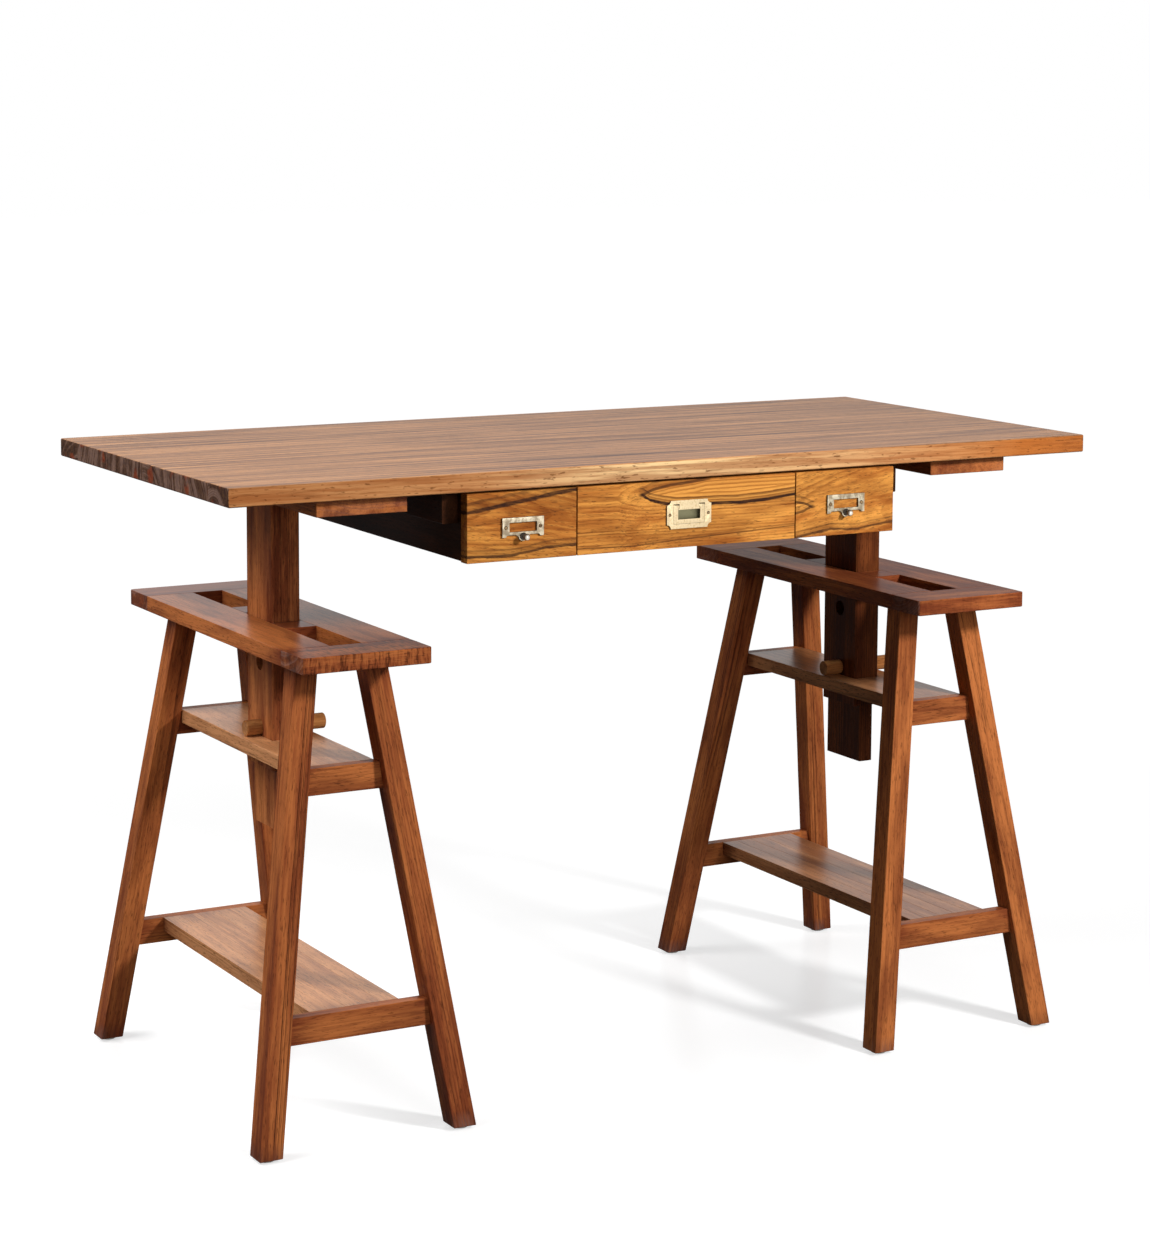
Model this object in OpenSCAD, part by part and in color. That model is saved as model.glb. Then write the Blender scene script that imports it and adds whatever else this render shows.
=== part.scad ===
// Height-adjustable desk: a solid wood top with a three-drawer unit, carried by two posts
// that slide in two splayed trestles and stand on wooden pegs.
// X runs along the desk, Y from the drawers to the back, Z up from the floor. Millimetres.

/* [Desktop] */
// Length of the desktop
desk_w = 1480; // [1340:10:1700]
// Depth of the desktop, front to back
desk_d = 684; // [660:2:760]
// Thickness of the desktop
desk_t = 28; // [22:1:36]

/* [Height settings] */
// Gap between bearer and trestle top at the first setting
first_step = 95; // [80:5:110]
// Distance between two peg holes
peg_pitch = 100; // [80:5:110]

/* [Trestle tops] */
// Height of a trestle, floor to its top face
trestle_h = 724; // [690:2:760]
// Distance from the middle of the desk to the middle of each trestle
trestle_x = 527; // [505:1:545]
// Width of a trestle top, along X
top_w = 204; // [190:2:230]
// Length of a trestle top, along Y
top_l = 678; // [640:10:740]
// Thickness of the trestle top boards
top_t = 24; // [20:1:30]
// Length along Y of the board that closes each end of the top
end_board_l = 76; // [60:2:90]
// Length along Y of the block between post and slot
block_l = 54; // [40:2:70]
// Radius of the trestle top's corners, seen from above
top_corner_r = 6; // [2:1:12]

/* [Legs] */
// Width of a leg, along X
leg_x = 36; // [30:1:42]
// Depth of a leg, along Y
leg_y = 37; // [32:1:42]
// Outside of the feet from the trestle's middle, along X
foot_x = 173; // [160:1:190]
// Outside of the feet from the trestle's middle, along Y
foot_y = 341; // [318:1:350]
// Outside of the leg tops from the trestle's middle, along X
head_x = 72; // [66:1:90]
// Outside of the leg tops from the trestle's middle, along Y
head_y = 246; // [236:1:256]
// Diameter of the glide under each foot
glide_d = 24; // [16:1:28]
// Height of the glide under each foot
glide_h = 4; // [3:0.5:8]

/* [Stretchers and shelves] */
// Height of the middle shelf's top face
mid_shelf_h = 544; // [524:2:556]
// Width of the middle shelf, along X
mid_shelf_w = 115; // [105:1:119]
// Height of the low shelf's top face
low_shelf_h = 196; // [165:1:200]
// Width of the low shelf, along X
low_shelf_w = 142; // [120:2:190]
// Thickness of both shelves
shelf_t = 22; // [18:1:28]
// Number of boards in the low shelf
low_slats = 5; // [3:1:7]
// Height of the stretchers' section
stretcher_h = 40; // [32:1:48]
// Thickness of the middle stretchers
mid_stretcher_t = 18; // [16:1:20]
// Thickness of the low stretchers
low_stretcher_t = 20; // [16:1:24]
// How far the middle stretchers lie behind the legs' outer faces
mid_stretcher_inset = 14.5; // [10:0.5:16]
// How far the low stretchers lie behind the legs' outer faces
low_stretcher_inset = 7.5; // [5:0.5:12]

/* [Posts and pegs] */
// Width of a post, along X
post_x = 46; // [40:1:50]
// Depth of a post, along Y
post_y = 98; // [90:1:110]
// Length of a post at full width, below its bearer
post_l = 422; // [410:2:450]
// Width of the tongue at the foot of a post
tongue_x = 25; // [18:1:34]
// Length of the tongue at the foot of a post
tongue_l = 95; // [60:5:95]
// Diameter of the pegs
peg_d = 24; // [20:1:28]
// Length of the pegs
peg_l = 130; // [115:5:150]
// How far the left peg is pushed past its post's middle, to the right
left_peg_shift = 17; // [0:1:25]
// How far the right peg is pushed past its post's middle, to the right
right_peg_shift = 10; // [0:1:25]

/* [Bearers] */
// Width of a bearer, along X
bearer_w = 142; // [110:2:170]
// Length of a bearer, along Y
bearer_l = 640; // [560:10:660]
// Thickness of a bearer
bearer_t = 25; // [20:1:32]

/* [Drawer unit] */
// Width of the drawer unit
unit_w = 742; // [690:5:790]
// Width of the middle drawer front
middle_w = 379; // [340:1:420]
// Height of the drawer fronts
front_h = 101; // [92:1:116]
// Thickness of the drawer fronts
front_t = 20; // [18:1:24]
// How far the drawer fronts lie behind the desktop's front edge
front_set_back = 1.5; // [0:0.5:10]
// Length of the drawer unit behind the fronts, along Y
case_l = 540; // [460:10:600]
// Thickness of the unit's sides and dividers
case_t = 16; // [14:1:20]
// Thickness of the unit's bottom and back
panel_t = 10; // [8:1:14]
// Thickness of the drawers' sides and backs
box_t = 12; // [9:1:14]
// Height of the drawers' sides
box_h = 72; // [60:1:78]
// Thickness of the drawers' bottoms
bottom_t = 6; // [4:0.5:8]
// Width of the battens that hold the unit to the desktop
cleat_w = 25; // [20:1:36]
// Height of the battens that hold the unit to the desktop
cleat_h = 48; // [36:1:60]

/* [Card holders and knobs] */
// Width of a card holder
holder_w = 68; // [60:1:80]
// Height of a card holder at its ends
holder_h = 28.5; // [27:0.5:36]
// Width of the holder's window
window_w = 45; // [36:1:50]
// Height of the holder's window
window_h = 14; // [10:0.5:15]
// Diameter of the knob's ball
knob_d = 10; // [8:0.5:13]
// How far the middle of the ball stands out of the drawer front
knob_reach = 14; // [12:0.5:15]

/* [Flush pull] */
// Width of the pull's plate
pull_w = 77; // [72:1:90]
// Height of the pull's plate
pull_h = 42.5; // [40:0.5:50]
// Thickness of the pull's plate
pull_t = 2.5; // [2:0.1:3.5]
// Width of the bail
bail_w = 53.6; // [50:0.2:56]
// Width of the bail's two legs
bail_leg = 7.6; // [6:0.2:9]
// Height of the bail's cross bar
bail_bar = 6.6; // [5:0.2:8]
// Depth of the finger recess behind the plate
cup_d = 9; // [7:0.5:10]

/* [Hidden] */
$fn = 48;

// Clearances
post_gap = 1.5;
peg_gap = 0.3;
seat_gap = 0.3;
drawer_gap = 1.5;
joint_gap = 0.1;
front_gap = 1.5;
top_reveal = 3;
// Small chamfers on the boards' edges
ease = 1.5;
desk_ease = 2.5;
post_ease = 3;
peg_ease = 1.5;
slat_ease = 0.8;
// The post has two peg holes, and stands on the lower one in the photographed setting
peg_holes = 2;
// Hidden joints
screw_fit = 0.1;
rabbet = 8;
rail_tenon_l = 20;
block_tongue_l = 8;
leg_tenon = 18;
leg_tenon_l = 14;
glide_pin_r = 1.5;
glide_pin_l = 12;
tenon_t = 8;
tenon_h = 26;
tenon_l = 14;
shelf_tongue_t = 8;
shelf_tongue_l = 6;
post_tenon_x = 28;
post_tenon_y = 70;
post_tenon_l = 18;

// Heights
lift = first_step + (peg_holes - 1) * peg_pitch;
bearer_z = trestle_h + lift;
desk_z = bearer_z + bearer_t;
desk_h = desk_z + desk_t;
peg_z = mid_shelf_h + seat_gap + peg_d / 2;
shoulder_z = bearer_z - post_l;
post_end_z = shoulder_z - tongue_l;
top_z = trestle_h - top_t;

// Plan of a trestle
opening_w = post_x + 2 * post_gap;
opening_l = post_y + 2 * post_gap;
rail_w = (top_w - opening_w) / 2;
rail_l = top_l - 2 * end_board_l;
// Slope of the legs, and the middle line of the leg on the positive side of X and Y
slope_x = (foot_x - head_x) / top_z;
slope_y = (foot_y - head_y) / top_z;
leg_len = top_z * sqrt(1 + slope_x * slope_x + slope_y * slope_y);
tilt_y = -atan(slope_x);
tilt_x = asin(slope_y * top_z / leg_len);
half_x = leg_x / 2 / cos(tilt_y);
half_y = leg_y / 2 / cos(tilt_x);
function leg_mid_x(z) = head_x - half_x + (top_z - z) * slope_x;
function leg_mid_y(z) = head_y - half_y + (top_z - z) * slope_y;
function leg_inner_x(z) = leg_mid_x(z) - half_x;
function leg_outer_y(z) = leg_mid_y(z) + half_y;
mid_stretcher_y = leg_outer_y(mid_shelf_h) - mid_stretcher_inset;
low_stretcher_y = leg_outer_y(low_shelf_h) - low_stretcher_inset;

// Plan of the drawer unit
face_y = -desk_d / 2 + front_set_back;
case_y = face_y + front_t + seat_gap;
front_top = desk_z - top_reveal;
front_z = front_top - front_h;
case_z = front_z + 2;
divider_x = middle_w / 2 + front_gap / 2;
side_front_w = unit_w / 2 - middle_w / 2 - front_gap;
side_drawer_x = middle_w / 2 + front_gap + side_front_w / 2;
box_z = case_z + panel_t + seat_gap;
box_y = face_y + front_t;
box_l = case_l - panel_t - 8;
groove_up = 8;
groove_in = 5;
cleat_y = case_y + 10;
cleat_l = case_l - 60;
tail_l = 10;
tail_neck = 6;
tail_w = 9;

// Screws under the desktop
screw_r = 2.25;
screw_head_r = 4.5;
screw_head_h = 3;
bearer_screw_x = 0.34 * bearer_w;
bearer_screw_y = 0.4 * bearer_l;
screw_in_top = desk_t - 10;
small_screw_r = 1.2;
small_head_r = 2.4;
small_head_h = 0.9;
small_screw_l = 9;

// Card holder and knob
plate_t = 1.2;
card_gap = 2;
holder_z = front_z + front_h / 2 - 1.5;
holder_rib = 3;
holder_end_w = 9;
holder_band_h = 25.5;
lobe_r = 7;
knob_y = -holder_h / 2 + 0.5;
holder_screw_x = holder_w / 2 - (holder_w - window_w) / 4;
stem_r = 2.4;

// Flush pull, measured from the middle of its plate
pull_z = front_z + front_h / 2 - 0.5;
notch_r = 6.5;
bail_t = pull_t - 0.3;
pin_r = 0.8;
pin_hole_r = 0.85;
pin_depth = -1.2;
lug_r = pull_t - pin_depth;
bail_top = 15.5;
bail_foot = -14;
bail_hook = 2;
hook_h = 6;
pin_up = bail_top - lug_r;
bail_gap = 0.3;
recess_top = 7.1;
cup_t = 1.2;
cup_w = bail_w + 2 * bail_gap + 2 * cup_t;
cup_top = bail_top + bail_gap + cup_t;
cup_foot = bail_foot - bail_gap - cup_t;
pull_screw_x = (pull_w / 2 + cup_w / 2) / 2;

echo(desk_height = desk_h, lowest = desk_h - lift, post_end = post_end_z, end_when_low = post_end_z - lift);

// A rectangle with its four corners cut off
function eased(a, b, e) = [[e, 0], [a - e, 0], [a, e], [a, b - e], [a - e, b], [e, b], [0, b - e], [0, e]];

module along_x(p, s, e) {
    translate(p) rotate([90, 0, 90]) linear_extrude(s.x) polygon(eased(s.y, s.z, e));
}

module along_y(p, s, e) {
    translate(p + [0, s.y, 0]) rotate([90, 0, 0]) linear_extrude(s.y) polygon(eased(s.x, s.z, e));
}

module along_z(p, s, e) {
    translate(p) linear_extrude(s.z) polygon(eased(s.x, s.y, e));
}

// A board with all twelve edges eased
module board(p, s, e) {
    intersection() {
        along_x(p, s, e);
        along_y(p, s, e);
        along_z(p, s, e);
    }
}

module box(lo, hi) {
    translate(lo) cube(hi - lo);
}

// Turns what is made on the positive side of X and Y to another corner
module corner(sx, sy) {
    if (sx < 0 && sy < 0) rotate([0, 0, 180]) children();
    else if (sx < 0) mirror([1, 0, 0]) children();
    else if (sy < 0) mirror([0, 1, 0]) children();
    else children();
}

// Puts a flat drawing on a drawer front: its x along the desk, its y up, its z out of the front
module on_front(x, z) {
    translate([x, face_y, z]) rotate([90, 0, 0]) children();
}

// Desktop, bearers and posts

module bearer_screw_places() {
    for (sx = [-1, 1], bx = [-1, 1], by = [-1, 1])
        translate([sx * trestle_x + bx * bearer_screw_x, by * bearer_screw_y, bearer_z]) children();
}

module cleat_screw_places() {
    for (sx = [-1, 1], i = [0:2])
        translate([sx * (unit_w / 2 + cleat_w / 2), cleat_y + cleat_l * (0.12 + 0.38 * i), desk_z - cleat_h])
            children();
}

// A countersunk screw standing on its head at z = 0, through a piece of thickness t, or with g its hole
module screw(t, g = 0) {
    cylinder(r1 = screw_head_r + g, r2 = screw_r + g, h = screw_head_h);
    cylinder(r = screw_r + g, h = t + screw_in_top + g);
}

module desktop() {
    color("#9a6a45") difference() {
        board([-desk_w / 2, -desk_d / 2, desk_z], [desk_w, desk_d, desk_t], desk_ease);
        bearer_screw_places() screw(bearer_t, screw_fit);
        cleat_screw_places() screw(cleat_h, screw_fit);
    }
}

module bearer(x) {
    color("#8a4f2a") difference() {
        along_y([x - bearer_w / 2, -bearer_l / 2, bearer_z], [bearer_w, bearer_l, bearer_t], ease);
        translate([x, 0, bearer_z]) post_tenon(joint_gap);
        bearer_screw_places() screw(bearer_t, screw_fit);
    }
}

module post_tenon(g) {
    translate([-post_tenon_x / 2 - g, -post_tenon_y / 2 - g, -1])
        cube([post_tenon_x + 2 * g, post_tenon_y + 2 * g, 1 + post_tenon_l + g]);
}

module post(x) {
    color("#7d4424") difference() {
        union() {
            along_z([x - post_x / 2, -post_y / 2, shoulder_z], [post_x, post_y, post_l], post_ease);
            along_z([x - tongue_x / 2, -post_y / 2, post_end_z], [tongue_x, post_y, tongue_l + 1], ease);
            translate([x, 0, bearer_z]) post_tenon(0);
        }
        for (i = [0:peg_holes - 1])
            translate([x - post_x, 0, peg_z + i * peg_pitch]) rotate([0, 90, 0])
                cylinder(d = peg_d + 2 * peg_gap, h = 2 * post_x);
    }
}

module underside_screws() {
    color("#b9b4a8") {
        bearer_screw_places() screw(bearer_t);
        cleat_screw_places() screw(cleat_h);
    }
}

module peg(x) {
    r = peg_d / 2;
    e = peg_ease;
    color("#b8743f") translate([x - peg_l / 2, 0, peg_z]) rotate([0, 90, 0]) rotate_extrude()
        polygon([[0, 0], [r - e, 0], [r, e], [r, peg_l - e], [r - e, peg_l], [0, peg_l]]);
}

// Trestles

module top_outline() {
    r = top_corner_r;
    a = top_w / 2 - r;
    b = top_l / 2 - r;
    square([2 * a, top_l], center = true);
    square([top_w, 2 * b], center = true);
    for (sx = [-1, 1], sy = [-1, 1]) translate([sx * a, sy * b]) circle(r = r);
}

// Tenons at the ends of the rails, tongues at the ends of the blocks, and tenons on top of the legs
module rail_tenons(g) {
    zm = top_z + top_t / 2;
    h = tenon_t / 2 + g;
    for (sx = [-1, 1], sy = [-1, 1]) corner(sx, sy)
        box([top_w / 2 - 0.8 * rail_w - g, rail_l / 2 - 1, zm - h],
            [top_w / 2 - 0.2 * rail_w + g, rail_l / 2 + rail_tenon_l + g, zm + h]);
}

module block_tongues(g) {
    zm = top_z + top_t / 2;
    h = tenon_t / 2 + g;
    for (sx = [-1, 1], sy = [-1, 1]) corner(sx, sy)
        box([opening_w / 2 - 1, opening_l / 2 + 0.15 * block_l - g, zm - h],
            [opening_w / 2 + block_tongue_l + g, opening_l / 2 + 0.85 * block_l + g, zm + h]);
}

module leg_head(g) {
    translate([leg_mid_x(top_z) - leg_tenon / 2 - g, leg_mid_y(top_z) - leg_tenon / 2 - g, top_z - 1])
        cube([leg_tenon + 2 * g, leg_tenon + 2 * g, 1 + leg_tenon_l + g]);
}

module top_rails(x) {
    color("#85492a") translate([x, 0, 0]) {
        difference() {
            for (sx = [-1, 1]) translate([sx * (opening_w + rail_w) / 2, 0, top_z])
                along_y([-rail_w / 2, -rail_l / 2, 0], [rail_w, rail_l, top_t], ease);
            block_tongues(joint_gap);
            for (sx = [-1, 1], sy = [-1, 1]) corner(sx, sy) leg_head(joint_gap);
        }
        rail_tenons(0);
    }
}

module top_crosspieces(x) {
    color("#8f5230") translate([x, 0, 0]) {
        difference() {
            intersection() {
                translate([0, 0, top_z]) linear_extrude(top_t) top_outline();
                union() for (sy = [-1, 1])
                    along_x([-top_w / 2, sy * (top_l - end_board_l) / 2 - end_board_l / 2, top_z],
                        [top_w, end_board_l, top_t], ease);
            }
            rail_tenons(joint_gap);
        }
        for (sy = [-1, 1])
            along_x([-opening_w / 2, sy * (opening_l + block_l) / 2 - block_l / 2, top_z],
                [opening_w, block_l, top_t], ease / 2);
        block_tongues(0);
    }
}

// The bar that a leg is cut from, in its place on the positive side of X and Y
module leg_bar() {
    translate([leg_mid_x(top_z), leg_mid_y(top_z), top_z]) rotate([tilt_x, tilt_y, 0])
        along_z([-leg_x / 2, -leg_y / 2, -leg_len - 60], [leg_x, leg_y, leg_len + 120], ease);
}

module leg(x, sx, sy) {
    color("#9a5a30") translate([x, 0, 0]) corner(sx, sy) {
        difference() {
            intersection() {
                leg_bar();
                box([0, 0, glide_h], [2 * foot_x, 2 * foot_y, top_z]);
            }
            tenon_bar(mid_shelf_h, mid_stretcher_y, mid_stretcher_t, joint_gap);
            tenon_bar(low_shelf_h, low_stretcher_y, low_stretcher_t, joint_gap);
            translate([leg_mid_x(glide_h), leg_mid_y(glide_h), 0])
                cylinder(r = glide_pin_r + screw_fit, h = glide_h + glide_pin_l + screw_fit);
        }
        leg_head(0);
    }
}

// The tenons of a stretcher whose top is at z and whose outer face is at y
module tenon_bar(z, y, t, g) {
    zm = z - stretcher_h / 2;
    a = leg_inner_x(zm) + tenon_l + g;
    b = tenon_t / 2 + g;
    c = tenon_h / 2 + g;
    box([-a, y - t / 2 - b, zm - c], [a, y - t / 2 + b, zm + c]);
}

module stretcher(z, y, t, groove_w) {
    lo = z - stretcher_h;
    a = leg_inner_x(lo);
    b = leg_inner_x(z);
    difference() {
        union() {
            translate([0, y, 0]) rotate([90, 0, 0]) linear_extrude(t)
                polygon([[-a, lo], [a, lo], [b, z], [-b, z]]);
            tenon_bar(z, y, t, 0);
        }
        shelf_tongue(z, y - t, groove_w + 2 * joint_gap, joint_gap);
    }
}

// The tongue of a shelf of width w that ends at y
module shelf_tongue(z, y, w, g) {
    zm = z - shelf_t / 2;
    h = shelf_tongue_t / 2 + g;
    box([-w / 2, y - 1, zm - h], [w / 2, y + shelf_tongue_l + g, zm + h]);
}

module mid_stretchers(x) {
    color("#a8683a") for (sy = [-1, 1]) translate([x, 0, 0]) corner(1, sy)
        stretcher(mid_shelf_h, mid_stretcher_y, mid_stretcher_t, mid_shelf_w);
}

module low_stretchers(x) {
    color("#a8683a") for (sy = [-1, 1]) translate([x, 0, 0]) corner(1, sy)
        stretcher(low_shelf_h, low_stretcher_y, low_stretcher_t, low_shelf_w);
}

module mid_shelf(x) {
    l = mid_stretcher_y - mid_stretcher_t;
    color("#8a5534") translate([x, 0, 0]) difference() {
        union() {
            along_y([-mid_shelf_w / 2, -l, mid_shelf_h - shelf_t], [mid_shelf_w, 2 * l, shelf_t], ease);
            for (sy = [-1, 1]) corner(1, sy) shelf_tongue(mid_shelf_h, l, mid_shelf_w - 2 * ease, 0);
        }
        translate([0, 0, mid_shelf_h]) cube([opening_w, opening_l, 3 * shelf_t], center = true);
    }
}

module low_shelf(x) {
    l = low_stretcher_y - low_stretcher_t;
    w = low_shelf_w / low_slats;
    color("#8a5534") for (i = [0:low_slats - 1])
        translate([x - low_shelf_w / 2 + w * (i + 0.5), 0, 0]) {
            along_y([-w / 2, -l, low_shelf_h - shelf_t], [w, 2 * l, shelf_t], slat_ease);
            for (sy = [-1, 1]) corner(1, sy) shelf_tongue(low_shelf_h, l, w - 2 * slat_ease, 0);
        }
}

module glides(x) {
    color("#c9c7c2") for (sx = [-1, 1], sy = [-1, 1])
        translate([x + sx * leg_mid_x(glide_h), sy * leg_mid_y(glide_h), 0]) {
            cylinder(d1 = glide_d - 2, d2 = glide_d, h = 1);
            translate([0, 0, 1]) cylinder(d = glide_d, h = glide_h - 1);
            translate([0, 0, 1]) cylinder(r = glide_pin_r, h = glide_h - 1 + glide_pin_l);
        }
}

// Drawer unit

// The bottom and the back lie in rabbets in the sides
module bottom_panel(g) {
    a = unit_w / 2 - case_t + rabbet;
    box([-a - g, case_y - g, case_z - 10 * g], [a + g, case_y + case_l - panel_t, case_z + panel_t + g]);
}

module back_panel(g) {
    a = unit_w / 2 - case_t + rabbet;
    y = case_y + case_l;
    box([-a - g, y - panel_t - g, case_z - 10 * g], [a + g, y + 10 * g, desk_z + 10 * g]);
}

module unit_side(sx) {
    color("#5f3a22") difference() {
        box([sx * (unit_w - case_t) / 2 - case_t / 2, case_y, case_z],
            [sx * (unit_w - case_t) / 2 + case_t / 2, case_y + case_l, desk_z]);
        bottom_panel(joint_gap);
        back_panel(joint_gap);
    }
}

module unit_dividers() {
    color("#5f3a22") for (sx = [-1, 1])
        box([sx * divider_x - case_t / 2, case_y, case_z + panel_t],
            [sx * divider_x + case_t / 2, case_y + case_l - panel_t, desk_z]);
}

module unit_bottom() {
    color("#6b4328") bottom_panel(0);
}

module unit_back() {
    color("#6b4328") back_panel(0);
}

module unit_cleats() {
    color("#5f3a22") difference() {
        for (sx = [-1, 1])
            along_y([sx * (unit_w + cleat_w) / 2 - cleat_w / 2, cleat_y, desk_z - cleat_h],
                [cleat_w, cleat_l, cleat_h], 1);
        cleat_screw_places() screw(cleat_h, screw_fit);
    }
}

// Width of the space for a drawer box, and the width of its front
function drawer_x(i) = i * side_drawer_x;
function front_w(i) = i == 0 ? middle_w : side_front_w;
function bay_lo(i) = i < 0 ? -unit_w / 2 + case_t : (i == 0 ? -divider_x : divider_x) + case_t / 2;
function bay_hi(i) = i > 0 ? unit_w / 2 - case_t : (i == 0 ? divider_x : -divider_x) - case_t / 2;
function box_lo(i) = bay_lo(i) + drawer_gap;
function box_hi(i) = bay_hi(i) - drawer_gap;

// The sliding dovetail on the front end of a drawer side whose middle is at x
module dovetail(x, z, h, g) {
    a = tail_neck / 2 + g;
    b = tail_w / 2 + g;
    tip = box_y - tail_l - g;
    translate([x, 0, z]) linear_extrude(h) polygon([[-a, box_y + 1], [a, box_y + 1], [b, tip], [-b, tip]]);
}

module small_hole() {
    translate([0, 0, -screw_fit]) cylinder(r = small_screw_r + screw_fit, h = 2 * small_screw_l);
}

module drawer_front(i) {
    w = front_w(i);
    color("#b8792f") difference() {
        board([drawer_x(i) - w / 2, face_y, front_z], [w, front_t, front_h], 1);
        for (x = [box_lo(i) + box_t / 2, box_hi(i) - box_t / 2])
            dovetail(x, front_z - 1, box_z + box_h + joint_gap - front_z + 1, joint_gap);
        box([box_lo(i) + box_t - groove_in, box_y - groove_in, box_z + groove_up - joint_gap],
            [box_hi(i) - box_t + groove_in, box_y + 1, box_z + groove_up + bottom_t + joint_gap]);
        if (i == 0) {
            on_front(0, pull_z) cup_block(joint_gap, 1);
            on_front(0, pull_z) for (sx = [-1, 1]) translate([sx * pull_screw_x, 0, -small_screw_l])
                small_hole();
        } else {
            on_front(drawer_x(i), holder_z) for (p = [[-holder_screw_x, 0], [holder_screw_x, 0], [0, knob_y]])
                translate([p.x, p.y, -small_screw_l]) small_hole();
        }
    }
}

module drawer_box(i) {
    lo = box_lo(i);
    hi = box_hi(i);
    floor_z = box_z + groove_up;
    color("#a87c4c") {
        difference() {
            for (x = [lo, hi - box_t]) {
                box([x, box_y, box_z], [x + box_t, box_y + box_l, box_z + box_h]);
                dovetail(x + box_t / 2, box_z, box_h, 0);
            }
            box([lo + box_t - groove_in, box_y - tail_l - 1, floor_z - joint_gap],
                [hi - box_t + groove_in, box_y + box_l + 1, floor_z + bottom_t + joint_gap]);
        }
        box([lo + box_t, box_y + box_l - box_t, floor_z + bottom_t + joint_gap],
            [hi - box_t, box_y + box_l, box_z + box_h]);
    }
}

module drawer_bottom(i) {
    g = groove_in - 0.5;
    color("#c39a66") box([box_lo(i) + box_t - g, box_y - g, box_z + groove_up],
        [box_hi(i) - box_t + g, box_y + box_l, box_z + groove_up + bottom_t]);
}

// Card holder: a thin plate held off the wood by two ribs, with a scalloped foot and a lobe for the knob

module holder_outline() {
    a = holder_w / 2;
    top = holder_h / 2;
    foot = top - holder_band_h;
    difference() {
        union() {
            translate([-a, foot]) square([holder_w, holder_band_h]);
            for (sx = [-1, 1]) translate([sx * (a - holder_end_w / 2), 0])
                square([holder_end_w, holder_h], center = true);
            translate([0, knob_y]) circle(r = lobe_r);
            translate([-lobe_r - 4, foot - 3]) square([2 * lobe_r + 8, 4]);
        }
        for (sx = [-1, 1]) {
            translate([sx * (lobe_r + 6), foot - 6]) circle(r = 6);
            translate([sx * (a - holder_end_w), -top]) circle(r = 3);
        }
        square([window_w, window_h], center = true);
    }
}

module card_holder(i) {
    color("#c9b98f") on_front(drawer_x(i), holder_z) difference() {
        union() {
            translate([0, 0, card_gap]) linear_extrude(plate_t) holder_outline();
            linear_extrude(card_gap) {
                translate([-holder_w / 2, holder_h / 2 - holder_rib]) square([holder_w, holder_rib]);
                translate([-window_w / 2, -window_h / 2 - holder_rib]) square([window_w, holder_rib]);
                translate([0, knob_y]) circle(r = lobe_r - 1);
            }
        }
        for (p = [[-holder_screw_x, 0], [holder_screw_x, 0], [0, knob_y]])
            translate([p.x, p.y, -small_screw_l]) small_hole();
    }
}

// A small round-headed screw whose head stands on z
module small_screw(z) {
    translate([0, 0, z]) cylinder(r1 = small_head_r, r2 = small_head_r * 0.6, h = small_head_h);
    translate([0, 0, z - small_screw_l - card_gap]) cylinder(r = small_screw_r, h = small_screw_l + card_gap);
}

module holder_screws(i) {
    color("#8d7f63") on_front(drawer_x(i), holder_z) for (sx = [-1, 1])
        translate([sx * holder_screw_x, 0, 0]) small_screw(card_gap + plate_t);
}

module knob(i) {
    base = card_gap + plate_t;
    color("#b6a272") on_front(drawer_x(i), holder_z) translate([0, knob_y, 0]) {
        translate([0, 0, 1 - small_screw_l]) cylinder(r = small_screw_r, h = base + small_screw_l);
        translate([0, 0, base]) cylinder(r1 = lobe_r - 1.5, r2 = stem_r, h = 3);
        translate([0, 0, base]) cylinder(r = stem_r, h = knob_reach - base);
        translate([0, 0, knob_reach]) sphere(d = knob_d);
    }
}

// Flush pull: notched plate, pressed cup, flat bail on two pins

module cup_block(g, extra) {
    a = cup_w / 2 + g;
    box([-a, cup_foot - g, -cup_d - g], [a, cup_top + g, extra]);
}

// The opening in the plate: as wide as the bail, with the recess up to the bail's hooks
module bail_space() {
    a = bail_w / 2 + bail_gap;
    b = bail_w / 2 - bail_leg - bail_gap;
    difference() {
        translate([-a, bail_foot - bail_gap]) square([2 * a, bail_top - bail_foot + 2 * bail_gap]);
        translate([-b, recess_top]) square([2 * b, bail_top]);
    }
    for (sx = [-1, 1]) translate([sx * (b - bail_hook / 2), bail_top - hook_h / 2])
        square([bail_hook, hook_h + 2 * bail_gap], center = true);
}

module pull_plate() {
    color("#d6c48f") on_front(0, pull_z) difference() {
        linear_extrude(pull_t) difference() {
            square([pull_w, pull_h], center = true);
            for (sx = [-1, 1], sy = [-1, 1])
                translate([sx * pull_w / 2, sy * pull_h / 2]) circle(r = notch_r);
            bail_space();
        }
        for (sx = [-1, 1]) translate([sx * pull_screw_x, 0, -small_screw_l]) small_hole();
    }
}

// The hollow of the cup, less the two ledges that the bail comes to rest on
module cup_space() {
    a = bail_w / 2 + bail_gap;
    foot = bail_foot - bail_gap;
    difference() {
        translate([-a, foot]) square([2 * a, bail_top + bail_gap - foot]);
        for (sx = [-1, 1]) translate([sx * (a - bail_leg / 2), foot + bail_bar / 2])
            square([bail_leg + 0.01, bail_bar], center = true);
    }
}

module pull_cup() {
    color("#8f8b6a") on_front(0, pull_z) difference() {
        cup_block(0, 0);
        translate([0, 0, -cup_d + cup_t]) linear_extrude(cup_d) cup_space();
        for (sx = [-1, 1]) translate([sx * (cup_w - cup_t) / 2, pin_up, pin_depth]) rotate([0, 90, 0])
            cylinder(r = pin_hole_r, h = 2 * cup_t, center = true);
    }
}

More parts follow.
